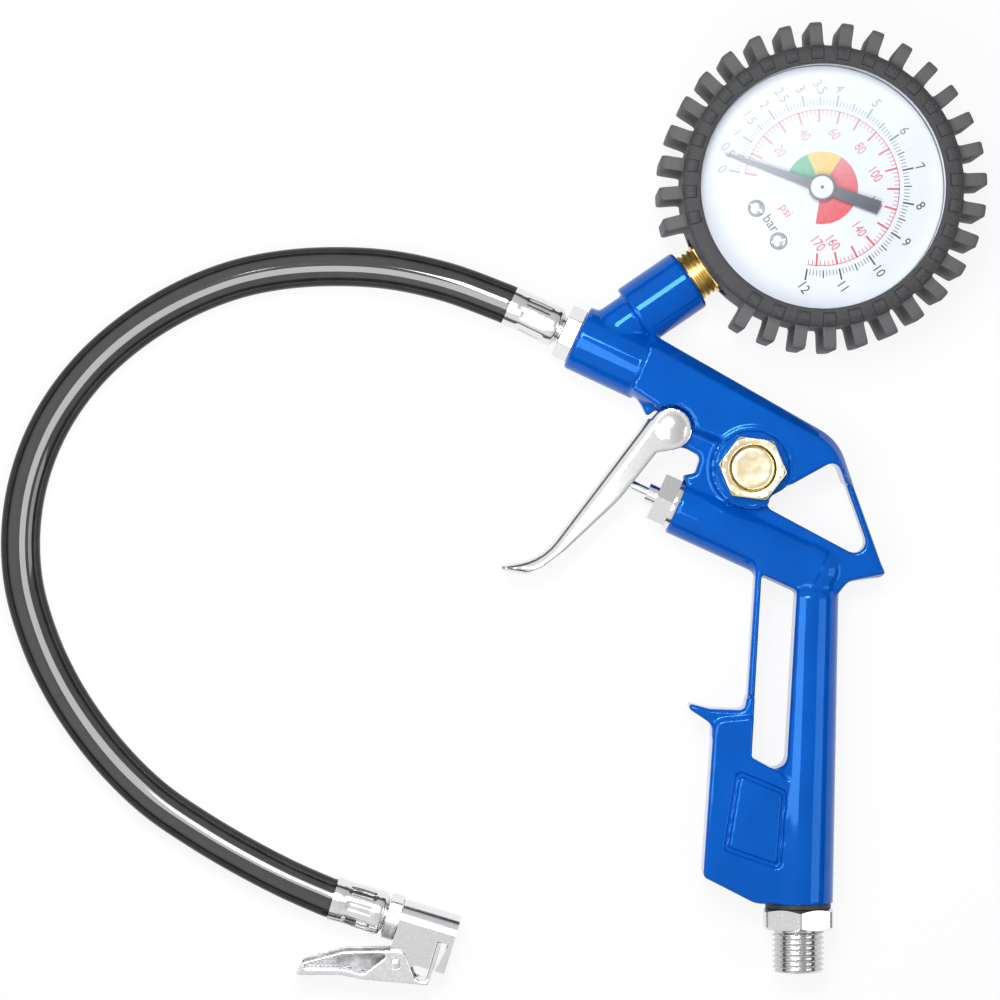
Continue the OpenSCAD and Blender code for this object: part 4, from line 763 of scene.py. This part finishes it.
def clipDistance(x, y, z, flat):
    c = clip
    arm = plateDistance(flat["outline"], z, c["half"], c["edge"])
    arm = carve(arm, np.maximum(flat["room"], np.abs(z) - c["half"] + c["sheet"]), 0.2)
    arm = np.minimum(arm, plateDistance(flat["floor"], z, c["half"], c["edge"]))
    arm = carve(arm, np.maximum(flat["opening"], c["openAbove"] - z), 0.25)
    jaw = np.maximum(np.abs(x - c["jawAt"] - c["sheet"] / 2) - c["sheet"] / 2, np.abs(z) - c["jawHalf"])
    jaw = np.maximum(jaw, np.maximum(c["jawFoot"] - y, y - c["jawTop"]))
    jaw = np.maximum(jaw, c["mouthR"] - np.hypot(y, z))
    arm = np.minimum(arm, jaw)
    return np.maximum(arm, c["holeR"] - fromUpright(x, y, rivet))


clipOutlines = {"outline": clipOutline, "floor": clipFloor, "room": clipRoom, "opening": clipOpening}
clipPoints, clipQuads = netSkin(clipDistance, clipOutlines, (-4.6, -21.7, 0), (30.7, -1.0, 7.0), clip["grid"])
clipPlace = chuckAt + clipPoints[:, :1] * chuckIn + clipPoints[:, 1:2] * chuckSide
clipPoints = np.column_stack([clipPlace, clipPoints[:, 2] - midZ + chuckZ])
clipArm = addPiece("clip_arm", clipPoints, clipQuads, sheetSteel, "sheet", "lever", ["clip_lever"],
                   closed=False, angle=50)
# Painted shade: the channel's far side, seen through the opening, gets a darker steel that stands in for the
# shade deep inside the channel.
clipArm.data.materials.append(paintedShadeSteel)
for face in clipArm.data.polygons:
    if face.center.z * 1000 < chuckZ - clip["floorDrop"] and face.normal.z > 0.5:
        face.material_index = 1
print("clip arm made:", len(clipPoints), "points")


# A hexagon's radius at some angles, with its corners cut back by an amount.
def hexSide(flats, angle, corner):
    return hexRadius(flats, angle, flats / 2 / math.cos(math.pi / 6) - corner)


# Two grids from rows of pairs; each value is one number, or one for every column.
def pairGrids(pairs, columns):
    return [np.array([np.broadcast_to(value, columns) for value in row]) for row in zip(*pairs)]


# Bleed valve: its nut, and the button in it.
bleed = {"flats": 14.8, "low": 8.05, "high": 12.4, "chamfer": 7.75, "fall": 0.62, "hole": 5.8, "skirtR": 6.7,
         "skirtLow": 4.9, "turn": 22.4, "columns": 144, "buttonTop": 11.7}
nutLow, nutHigh, nutHole = bleed["low"], bleed["high"], bleed["hole"]
nutSide = hexSide(bleed["flats"], roundAngles(bleed["columns"]), 0.12)
slant = nutHigh - np.maximum(nutSide - bleed["chamfer"], 0) * bleed["fall"]
nutR, nutH = pairGrids([  # radius, height
    (bleed["skirtR"], bleed["skirtLow"]), (bleed["skirtR"], nutLow), (nutSide - 0.15, nutLow),
    (nutSide, nutLow + 0.15), (nutSide, slant - 0.22), (nutSide - 0.07, slant - 0.07),
    (nutSide - 0.22, slant), (np.minimum(nutSide - 0.3, bleed["chamfer"]), nutHigh),
    (nutHole + 0.55, nutHigh), (nutHole + 0.2, nutHigh - 0.12), (nutHole, nutHigh - 0.5),
    (nutHole, bleed["skirtLow"]),
], bleed["columns"])
addGrid("bleed_hexagon", spun(bossAt, nutR, midZ + nutH, bleed["turn"]), paleBrass, "brass", "gun",
        ["bleed_nut"], closeRows=True)
buttonR = [0, 4.3, 4.3, 5.1, 5.3, 5.3, 5.22, 5.0, 4.6, 3.9, 2.4, 0]
buttonDrop = np.array([1.4, 1.4, 4.8, 4.8, 4.6, 0.55, 0.25, 0.08, 0, 0.02, 0.09, 0.12])
buttonPoints = spun(bossAt, around(buttonR, 96), midZ + around(bleed["buttonTop"] - buttonDrop, 96))
addGrid("bleed_push_button", buttonPoints, paleBrass, "brass", "bleed", ["bleed_button"])
print("bleed valve made")


# Turned work about a level axis, whose places along it may vary round it too.
def turnedFree(at, direction, z, along, radius):
    angle = roundAngles(radius.shape[1])[None, :]
    across = radius * np.cos(angle)
    return np.stack([at[0] + along * direction[0] - across * direction[1],
                     at[1] + along * direction[1] + across * direction[0], z + radius * np.sin(angle)], -1)


# Inlet: a hexagon, then a helical thread whose ridge runs out at the end.
inlet = {"flats": 17.0, "major": 13.157, "pitch": 1.337, "depth": 0.82, "seal": 1.3, "hexagon": 5.3,
         "length": 10.8, "bore": 3.5, "inside": -10.9, "runOut": 0.9, "columns": 96}
hexLow, hexHigh = inlet["seal"], inlet["seal"] + inlet["hexagon"]
threadEnd = hexHigh + inlet["length"]
threadAlong = np.arange(hexHigh + 0.55, threadEnd - 0.01, inlet["pitch"] / 12)
inletAngle = roundAngles(inlet["columns"])
turns = threadAlong[:, None] / inlet["pitch"] - inletAngle[None, :] / (2 * np.pi)
ridge = np.clip(np.abs(2 * (turns % 1) - 1) * 1.3 - 0.15, 0, 1)  # 1 at the root, 0 at the crest
fade = np.clip((threadEnd - threadAlong) / inlet["runOut"], 0, 1)[:, None]
threadR = inlet["major"] / 2 - inlet["depth"] * np.maximum(ridge, 1 - fade)
inletSide = hexSide(inlet["flats"], inletAngle, 0.15)
crown = np.maximum(inletSide - inlet["flats"] / 2, 0) * 0.55
boreR, innerR, flatR = inlet["bore"], inlet["major"] / 2, inlet["flats"] / 2 - 0.3
inletR, inletS = pairGrids([  # radius, place along the axis
    (boreR, inlet["inside"]), (innerR - 0.6, inlet["inside"]), (innerR, inlet["inside"] + 0.6),
    (innerR, hexLow - 0.02), (flatR, hexLow), (inletSide, hexLow + 0.15 + crown),
    (inletSide, hexHigh - 0.15 - crown), (flatR, hexHigh), (innerR - 0.75, hexHigh),
    (innerR - 0.8, hexHigh + 0.5),
    *zip(threadR, threadAlong),
    (innerR - 1.3, threadEnd), (boreR + 0.3, threadEnd), (boreR, threadEnd - 0.3),
], inlet["columns"])
addGrid("inlet_thread", turnedFree(inletAt, heading(-90), midZ, inletS, inletR), threadPlate, "plated", "gun",
        ["inlet_nipple"], closeRows=True, angle=50)
print("inlet made")

# Ferrules: a sleeve with dents pressed in round it, a shoulder and a rolled mouth.
ferrules = {"columns": 128, "dents": 8, "dentDepth": 0.22, "wall": 0.5, "barb": 2.65, "shoulder": 2.4,
            "rise": 0.14, "waist": 0.025}


# Smooth step from 0 to 1 between two values.
def smoothStep(value, low, high):
    t = np.clip((value - low) / (high - low), 0, 1)
    return t * t * (3 - 2 * t)


# Radius = profile along the sleeve less the dents: a smooth window along it times one round it.
def ferrule(name, at, direction, z, diameter, node, twist):
    f, outer = ferrules, diameter / 2
    angle = roundAngles(f["columns"])[None, :]
    s = np.concatenate([np.linspace(0.9, 3.0, 7), np.linspace(3.2, 11.2, 26),
                        np.linspace(11.5, ferruleLength, 6)])[:, None]
    short = np.clip(f["shoulder"] - s, 0, f["shoulder"]) / f["shoulder"]
    rise = 1 - f["rise"] + f["rise"] * np.sqrt(np.clip(1 - short**2, 0, 1))
    waist = 1 - f["waist"] * smoothStep(s, 6.5, 9.5) * (1 - smoothStep(s, 10.5, 12.5))
    dent = smoothStep(np.cos(f["dents"] * angle + twist), -0.6, 0.5)
    dent = dent * smoothStep(s, 2.9, 4.2) * (1 - smoothStep(s, 9.4, 10.7))
    inside = outer - f["wall"] - f["dentDepth"] * 0.2
    radius, along = pairGrids([  # radius, place along the sleeve
        (f["barb"], 0.05), (outer * 0.72, 0.05), (outer * 0.78, 0.25),
        *zip(outer * rise * waist - f["dentDepth"] * dent, s),
        (outer - 0.2, ferruleLength), (inside, ferruleLength), (inside, 1.1), (f["barb"], 1.1),
    ], f["columns"])
    return addGrid(name, turnedFree(at, direction, z, along, radius), satinPlate, "plated", "gun", [node],
                   closeRows=True, angle=60)


ferrule("gun_sleeve", -fittingFace * barrelIn, -barrelIn, midZ, 10.2, "gun_ferrule", math.pi / 2)
# The chuck's tail: barb, hexagon collar and spigot.
tail = {"flats": 10.3, "barbR": 2.6, "start": 1, "low": 14.0, "high": 17.4, "spigot": 3.8, "end": 19.6,
        "bore": 1.5, "twist": 15.0, "columns": 96}
collar = hexSide(tail["flats"], roundAngles(tail["columns"]) - math.radians(tail["twist"]), 0.2)
tailR, tailS = pairGrids([  # radius, place along the axis
    (tail["bore"], tail["start"]), (tail["barbR"], tail["start"]), (tail["barbR"], tail["low"]),
    (collar - 0.5, tail["low"]), (collar, tail["low"] + 0.3), (collar, tail["high"] - 0.2),
    (collar - 0.3, tail["high"]), (tail["spigot"], tail["high"]), (tail["spigot"], tail["end"]),
    (tail["bore"], tail["end"]),
], tail["columns"])
chuckCollar = addGrid("chuck_collar", turnedFree(chuckAt, chuckIn, chuckZ, tailS, tailR), satinPlate,
                      "plated", "gun", ["chuck_tail"], closeRows=True)
chuckSleeve = ferrule("chuck_sleeve", chuckAt + ferruleLength * chuckIn, -chuckIn, chuckZ, 11.1,
                      "chuck_ferrule", 0.0)
print("ferrules made")

# Rubber boot: its outer radius carries teeth over 29 of 32 places.
boot = {"case": 31.5, "wall": 3.1, "tooth": 5.8, "window": 30.1, "top": 30.5, "places": 32, "leftOut": 3,
        "turn": 2.0, "wobble": 0.16, "rib": 0.55, "stemR": 8.65, "floor": 1.8}
halfOffset = np.array([1.1, 1.9, 2.2, 2.34, 2.58, 2.75, 2.95, 3.2, 3.9])  # degrees from a tooth's middle
halfReach = np.array([1, 0.99, 0.95, 0.86, 0.2, 0.09, 0.03, 0, 0])        # share of the tooth there
offset = np.concatenate([-halfOffset[::-1], [0], halfOffset])
reach = np.concatenate([halfReach[::-1], [1], halfReach])
place = np.arange(boot["places"])
middle = 270 + boot["turn"] + (place + (boot["leftOut"] + 1) / 2) * 360 / boot["places"]
present = (place < boot["places"] - boot["leftOut"]).astype(float)[:, None]
wobble = np.random.default_rng(7).uniform(-boot["wobble"], boot["wobble"], boot["places"])
bootAngle = np.radians(middle[:, None] + offset[None, :] + wobble[:, None] * (reach > 0.5)).ravel()
bootAngle = bootAngle + math.radians(gaugeAngle - 90)
toothShare = (present * reach[None, :]).ravel()
ribReach = (np.abs(offset) < 2.8) * np.clip((2.75 - np.abs(offset)) / 0.2, 0, 1)
ribShare = (present * ribReach[None, :]).ravel()
bootR, mouth, bootTop, caseR = boot["case"] + boot["wall"], boot["window"], boot["top"], boot["case"] + 0.06
bootRows = np.array([  # radius, height, share of the tooth, share of the rib
    [0, 0, 0, 0], [20, 0, 0, 0], [bootR - 1.2, 0, 0, 0], [bootR - 0.35, 0.35, 0, 0], [bootR, 1.15, 0, 0],
    [bootR, 1.2, 0.6, 0], [bootR, 1.5, 0.93, 0], [bootR, 2.0, 1, 0], [bootR, 10, 1, 0], [bootR, 20, 1, 0],
    [bootR, 28.2, 1, 0], [bootR, 28.75, 0.96, 0], [bootR, 29.0, 0.88, 0], [bootR, 29.1, 0.72, 0],
    [bootR, 29.15, 0.3, 0], [bootR, 29.2, 0, 0], [bootR - 0.1, 29.7, 0, 0.25], [bootR - 0.45, 30.15, 0, 0.8],
    [bootR - 1.0, bootTop - 0.12, 0, 1], [bootR - 2.0, bootTop, 0, 1], [mouth + 1.35, bootTop, 0, 1],
    [mouth + 1.15, bootTop, 0, 0.75], [mouth + 1.0, bootTop, 0, 0], [mouth + 0.35, bootTop, 0, 0],
    [mouth + 0.08, bootTop - 0.12, 0, 0], [mouth, bootTop - 0.4, 0, 0], [mouth, 28.9, 0, 0],
    [caseR, 28.85, 0, 0], [caseR, boot["floor"] + 0.06, 0, 0], [20, boot["floor"], 0, 0],
    [0, boot["floor"], 0, 0],
])
bootRadius = bootRows[:, :1] + boot["tooth"] * bootRows[:, 2:3] * toothShare[None, :]
bootHeight = bootRows[:, 1:2] + boot["rib"] * bootRows[:, 3:4] * ribShare[None, :]
bootPoints = np.stack([gaugeAt[0] + bootRadius * np.cos(bootAngle),
                       gaugeAt[1] + bootRadius * np.sin(bootAngle), bootHeight], -1)
bootPiece = addGrid("toothed_boot", bootPoints, bootRubber, "rubber", "gun", ["gauge_boot"], angle=38)


# Cuts a round hole along a level line through a finished piece.
def drill(piece, at, direction, z, radius, low, high):
    along = around([low, low, high, high], 64)
    r = around([0, radius, radius, 0], 64)
    tool = bpy.data.meshes.new("drill")
    points = toScene(turnedFree(at, direction, z, along, r))
    tool.from_pydata(points.reshape(-1, 3).tolist(), [], gridFaces(4, 64).tolist())
    weld(tool)
    bit = addObject("drill", tool)
    cut = piece.modifiers.new("hole", "BOOLEAN")
    cut.object, cut.operation, cut.solver = bit, "DIFFERENCE", "EXACT"
    shaped = shownMesh(piece)
    piece.modifiers.clear()
    piece.data = shaped
    bpy.data.objects.remove(bit)
    bpy.data.meshes.remove(tool)


drill(bootPiece, branchFace, branchOut, midZ, boot["stemR"], 4.0, 12.0)
# Three ridges turned on the stem's neck.
ringS = [0.15, 0.15, 0.4, 0.9, 1.15, 1.5, 1.75, 2.25, 2.5, 2.85, 3.1, 3.6, 3.85, 4.2, 4.2]
ringR = [5.6, 5.72, 6.2, 6.2, 5.72, 5.72, 6.2, 6.2, 5.72, 5.72, 6.2, 6.2, 5.72, 5.72, 5.6]
ringPoints = turnedFree(branchFace, branchOut, midZ, around(ringS, 96), around(ringR, 96))
addGrid("stem_ridges", ringPoints, goldBrass, "brass", "gun", closeRows=True)
# The bezel between the boot's lip and the dial, and the dial's plate, turned down over its edge.
bezelR, bezelH = [30.18, 30.42, 30.42, 30.3, 30.18], [24.2, 24.2, 28.5, 28.62, 28.5]
plateR, plateH = [2.0, 30.0, 30.15, 30.15, 29.95, 2.0], [22.4, 22.4, 22.5, 23.05, 23.2, 23.2]
addGrid("bezel_ring", spun(gaugeAt, around(bezelR, 160), around(bezelH, 160)), satinPlate, "plated", "gun",
        ["lens_ring"], closeRows=True)
addGrid("dial_plate", spun(gaugeAt, around(plateR, 160), around(plateH, 160)), dialEnamel, "dial_white",
        "gun", ["gauge_dial"], closeRows=True)
print("boot made:", len(bootPiece.data.polygons), "faces")

# Dial print: thin raised ink on the plate. Angles are in degrees, and the scales' top is at 90.
dial = {"low": 23.2, "ink": 0.03, "zero": 225.0, "perBar": 22.45, "psiPerBar": 14.5038}
barScale = {"inner": 20.4, "whole": (23.2, 0.42), "half": (22.3, 0.3), "tenth": (21.8, 0.16),
            "lettersR": 24.9, "letters": (3.5, 0.86), "unit": ("bar", 0.2, -15.2, 3.6, 0.95)}
psiScale = {"outer": 19.3, "ten": (16.2, 0.5), "two": (18.0, 0.18), "line": (19.15, 19.35),
            "lettersR": 13.7, "letters": (3.6, 0.72), "unit": ("psi", -0.3, -10.7, 3.3, 0.9)}
zones = {"inner": 2.0, "outer": 9.0}
inkLow, inkHigh = dial["low"] + 0.01, dial["low"] + dial["ink"]


# Points of the gauge's own frame, with the dial's top at +Y.
def inGauge(points):
    points = np.array(points, float)
    c, s = math.cos(math.radians(gaugeAngle - 90)), math.sin(math.radians(gaugeAngle - 90))
    x, y = points[..., 0].copy(), points[..., 1].copy()
    points[..., 0] = gaugeAt[0] + c * x - s * y
    points[..., 1] = gaugeAt[1] + s * x + c * y
    return points


# One box for each tick: it lies along the radius at its angle.
def ticks(angles, inner, outer, width):
    angles = np.radians(np.asarray(angles, float))[:, None]
    along = np.array([inner, outer, outer, inner] * 2)[None, :]
    aside = np.array([-1, -1, 1, 1] * 2)[None, :] * width / 2
    height = np.broadcast_to(np.array([inkLow] * 4 + [inkHigh] * 4), (len(angles), 8))
    x = along * np.cos(angles) - aside * np.sin(angles)
    y = along * np.sin(angles) + aside * np.cos(angles)
    box = np.array([[0, 3, 2, 1], [4, 5, 6, 7], [0, 1, 5, 4], [1, 2, 6, 5], [2, 3, 7, 6], [3, 0, 4, 7]])
    faces = box[None] + 8 * np.arange(len(angles))[:, None, None]
    return np.stack([x, y, height], -1).reshape(-1, 3), faces.reshape(-1, 4)


# A flat ring sector between two angles and two radii.
def sector(first, last, inner, outer, steps=48):
    angle = np.radians(np.linspace(first, last, steps + 1))[:, None]
    r = np.array([inner, outer, outer, inner])[None, :]
    height = np.broadcast_to([inkLow, inkLow, inkHigh, inkHigh], (steps + 1, 4))
    points = np.stack([r * np.cos(angle), r * np.sin(angle), height], -1)
    ends = np.array([[3, 2, 1, 0], 4 * steps + np.arange(4)])
    return points.reshape(-1, 3), np.vstack([gridFaces(steps + 1, 4), ends])


# Joins several sets of points and faces.
def gathered(sets):
    points, faces, count = [], [], 0
    for p, f in sets:
        points.append(p)
        faces += [[int(k) + count for k in face] for face in f]
        count += len(p)
    return np.vstack(points), faces


# Lettering as thin solid ink; x and y are the middle of the word in the gauge's frame.
def words(entries):
    sets = []
    for text, x, y, size, narrow in entries:
        curve = bpy.data.curves.new("ink", "FONT")
        curve.body, curve.size = text, size
        curve.align_x, curve.align_y = "CENTER", "CENTER"
        curve.extrude = (inkHigh - inkLow) / 2
        curve.resolution_u = 4
        letter = addObject("ink", curve)
        mesh = shownMesh(letter)
        points = np.empty(len(mesh.vertices) * 3)
        mesh.vertices.foreach_get("co", points)
        points = points.reshape(-1, 3)
        points[:, 0] = points[:, 0] * narrow + x
        points[:, 1] += y - (points[:, 1].min() + points[:, 1].max()) / 2
        points[:, 2] += (inkLow + inkHigh) / 2
        sets.append((points, [list(face.vertices) for face in mesh.polygons]))
        bpy.data.objects.remove(letter)
        bpy.data.curves.remove(curve)
        bpy.data.meshes.remove(mesh)
    return gathered(sets)


def printPiece(name, sets, material):
    points, faces = gathered(sets)
    mesh = bpy.data.meshes.new(name)
    mesh.from_pydata(toScene(inGauge(points)).tolist(), [], [list(map(int, f)) for f in faces])
    weld(mesh, 5e-8)
    piece = addObject(name, mesh)
    mesh.materials.append(material)
    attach(piece, "gun")


# The words of a scale: each number stands at its angle on the letters' radius.
def scaleWords(scale, numbers, perUnit):
    entries = []
    for number in numbers:
        angle = math.radians(dial["zero"] - perUnit(number))
        x, y = scale["lettersR"] * math.cos(angle), scale["lettersR"] * math.sin(angle)
        entries.append(("%g" % number, x, y, *scale["letters"]))
    return words(entries + [scale["unit"]])


tenths = np.arange(121) / 10
barAngle = dial["zero"] - dial["perBar"] * np.arange(0, 12.001, 0.1)
wholeBar, halfBar = np.isclose(tenths % 1, 0), np.isclose(tenths % 1, 0.5)
psiAngle = dial["zero"] - dial["perBar"] / dial["psiPerBar"] * np.arange(0, 174.1, 2)
tenPsi = np.arange(len(psiAngle)) % 5 == 0
barWords = scaleWords(barScale, [0, 0.5, 1, 1.5, 2, 2.5, 3, 3.5, 4, 5, 6, 7, 8, 9, 10, 11, 12],
                      lambda bar: dial["perBar"] * bar)
psiWords = scaleWords(psiScale, [20, 40, 60, 80, 100, 120, 140, 160, 170],
                      lambda psi: dial["perBar"] * psi / dial["psiPerBar"])
barTicks = [ticks(barAngle[marked], barScale["inner"], *barScale[kind])
            for kind, marked in (("whole", wholeBar), ("half", halfBar), ("tenth", ~wholeBar & ~halfBar))]
psiTicks = [ticks(psiAngle[marked], psiScale[kind][0], psiScale["outer"], psiScale[kind][1])
            for kind, marked in (("ten", tenPsi), ("two", ~tenPsi))]
printPiece("bar_scale", [*barTicks, barWords], blackInk)
printPiece("psi_scale", [*psiTicks, sector(dial["zero"], float(psiAngle[-1]), *psiScale["line"], 160),
                         psiWords], redInk)
for name, first, last, steps, ink in (("zone_green", 169.2, 213.7, 48, greenInk),
                                      ("zone_yellow", 112.9, 169.2, 48, yellowInk),
                                      ("zone_red", -44, 112.9, 96, redInk)):
    printPiece(name, [sector(first, last, zones["inner"], zones["outer"], steps)], ink)
# The pointer's cap has a dark washer round its foot, and on top a small dark disc of painted shade where a
# dimple is.
capLow, capHigh = (np.array(corner) * 1000 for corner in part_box("pointer_cap"))
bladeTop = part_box("pointer")[1][2] * 1000
capR = (capHigh[0] - capLow[0]) / 2
for name, foot, rise, radii, ring in (
        ("cap_washer", bladeTop, 0.2, [capR - 0.1, capR + 0.4, capR + 0.4, capR - 0.1], True),
        # painted shade: a dark disc where the cap's dimple is
        ("cap_dimple_shade", capHigh[2], 0.04, [0, 0.42, 0.42, 0], False)):
    discPoints = spun(gaugeAt, around(radii, 48), foot + around([0.0, 0.0, rise, rise], 48))
    addGrid(name, discPoints, greyEnamel, "pointer_grey", "pointer", closeRows=ring)

# Screws: a domed head with a slot across it, one on each side of the dial's middle line. Round each head's
# foot lies a flat dark ring of painted shade, standing in for a sunk rim.
screw = {"aside": 4.88, "y": -16.18, "turns": (25.0, 70.0), "slotHalf": 0.32, "slotFloor": 0.45,
         "rim": (1.9, 2.15), "lift": 0.05}
screwR = np.array([0, 1.7, 1.95, 1.95, 1.75, 1.5, 1.25, 1.0, 0.75, 0.5, 0.25, 0.0])[:, None]
screwH = np.array([0, 0, 0, 0.35, 0.62, 0.78, 0.88, 0.95, 1.0, 1.03, 1.05, 1.05])[:, None]
screwAngle = roundAngles(48)[None, :]
screwHeads, screwShadeRings = [], []
for x, turn in zip((-screw["aside"], screw["aside"]), screw["turns"]):
    away = np.abs(screwR * np.sin(screwAngle - math.radians(turn)))
    slotted = (np.arange(12)[:, None] > 3) & (away < screw["slotHalf"])
    h = np.where(slotted, np.minimum(screwH, screw["slotFloor"]), screwH)
    points = np.stack([x + screwR * np.cos(screwAngle), screw["y"] + screwR * np.sin(screwAngle),
                       dial["low"] + screw["lift"] + h], -1)
    screwHeads.append((points.reshape(-1, 3), gridFaces(12, 48).tolist()))
    # Painted shade: a dark flat ring round the screw's foot.
    shadeRingPoints, shadeRingFaces = sector(0, 360, *screw["rim"])
    screwShadeRings.append((shadeRingPoints + [[x, screw["y"], 0]], shadeRingFaces))
printPiece("screw_shade_rings", screwShadeRings, greyEnamel)
printPiece("screw_heads", screwHeads, screwPlate)
sharpen(bpy.data.objects["screw_heads"], 40)
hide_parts("dial_screws")
print("dial printed")

# World: the camera sees white; the room is bright overhead, grey to the left and dark to the right.
world = bpy.data.worlds.new("studio")
bpy.context.scene.world = world
world.use_nodes = True
worldTree = world.node_tree
worldTree.nodes.clear()
output = addNode(worldTree, "OutputWorld")
rays = addNode(worldTree, "LightPath")
seen = addNode(worldTree, "Background", {"Color": (1, 1, 1, 1)})
room = addNode(worldTree, "Background", {"Strength": 1.0})
either = addNode(worldTree, "MixShader")
parts = addNode(worldTree, "SeparateXYZ")
connect(worldTree, (rays.outputs["Is Camera Ray"], either.inputs[0]), (room.outputs[0], either.inputs[1]),
        (seen.outputs[0], either.inputs[2]), (either.outputs[0], output.inputs["Surface"]),
        (addNode(worldTree, "TexCoord").outputs["Generated"], parts.inputs[0]))


# Carries the direction of a ray along one axis over to a brightness.
def worldBand(axis, *ranges):
    return mapRange(worldTree, parts.outputs[axis], *ranges, "SMOOTHSTEP")


def joined(tree, operation, a, b):
    node = addNode(tree, "Math", operation=operation)
    connect(tree, (a, node.inputs[0]), (b, node.inputs[1]))
    return node.outputs[0]


plain = joined(worldTree, "ADD", worldBand("X", -0.6, 0.5, 0.34, 0.12), worldBand("Z", 0.76, 0.93, 0.0, 0.5))
# Mirrors see paler walls, with a dark line above the floor.
mirrored = joined(worldTree, "MULTIPLY", worldBand("Z", 0.22, 0.42, 0.10, 0.92),
                  worldBand("X", -0.6, 0.6, 1.0, 0.62))
pick = addNode(worldTree, "Mix")
tone = addNode(worldTree, "CombineXYZ")
connect(worldTree, (rays.outputs["Is Glossy Ray"], pick.inputs[0]), (plain, pick.inputs[2]),
        (mirrored, pick.inputs[3]), *((pick.outputs[0], tone.inputs[axis]) for axis in range(3)),
        (tone.outputs[0], room.inputs["Color"]))

# Floor: a pale board that mostly glows, for the camera and for rays mirrored or let through.
floorSize, floorZ, floorGlow = 4, -0.0004, 0.88
floorMesh = bpy.data.meshes.new("floor")
floorCorners = [(x * floorSize, y * floorSize, floorZ) for x, y in ((-1, -1), (1, -1), (1, 1), (-1, 1))]
floorMesh.from_pydata(floorCorners, [], [(0, 1, 2, 3)])
floor = addObject("floor", floorMesh)
floorFinish = bpy.data.materials.new("paleFloor")
floorFinish.use_nodes = True
floorTree = floorFinish.node_tree
board = floorTree.nodes["Principled BSDF"]
board.inputs["Base Color"].default_value = (0.9, 0.9, 0.9, 1)
board.inputs["Roughness"].default_value = 0.7
glow = addNode(floorTree, "Emission", {"Color": (1, 1, 1, 1)})
floorRays = addNode(floorTree, "LightPath").outputs
mirrorSeen = joined(floorTree, "MAXIMUM", floorRays["Is Glossy Ray"], floorRays["Is Transmission Ray"])
anySeen = joined(floorTree, "MAXIMUM", floorRays["Is Camera Ray"], mirrorSeen)
glowShare = addNode(floorTree, "Math", {1: floorGlow}, operation="MULTIPLY")
both = addNode(floorTree, "MixShader")
connect(floorTree, (anySeen, glowShare.inputs[0]), (glowShare.outputs[0], both.inputs[0]),
        (board.outputs[0], both.inputs[1]), (glow.outputs[0], both.inputs[2]),
        (both.outputs[0], floorTree.nodes["Material Output"].inputs["Surface"]))
floorMesh.materials.append(floorFinish)


# A softbox at a place, aimed at a point; power is in watts for its area.
def softbox(name, place, aim, size, power, spin=0):
    lamp = bpy.data.lights.new(name, "AREA")
    lamp.shape = "RECTANGLE"
    lamp.size, lamp.size_y = size
    lamp.energy = power
    box = addObject(name, lamp)
    box.location = place
    away = [p - q for p, q in zip(place, aim)]
    yaw = math.atan2(away[1], away[0])
    tilt = math.acos(away[2] / math.sqrt(sum(v * v for v in away)))
    box.rotation_euler = (0, 0, math.radians(spin)) if spin else (0, tilt, yaw)
    box.visible_camera = False


softbox("softboxBack", (-0.08, 0.27, 0.80), (0.0, 0.05, 0.0), (0.24, 0.24), 3.1, 35)
softbox("softboxRight", (0.46, -0.1, 0.36), (0.01, -0.06, 0.0), (0.3, 0.3), 0.6)
softbox("hoseLamp", (-0.11, -0.012, 0.24), (-0.11, -0.012, 0.0), (0.15, 0.15), 0.32)
print("studio made")

tuple(toScene(gunMouth))
toScene(hosePath).tolist()
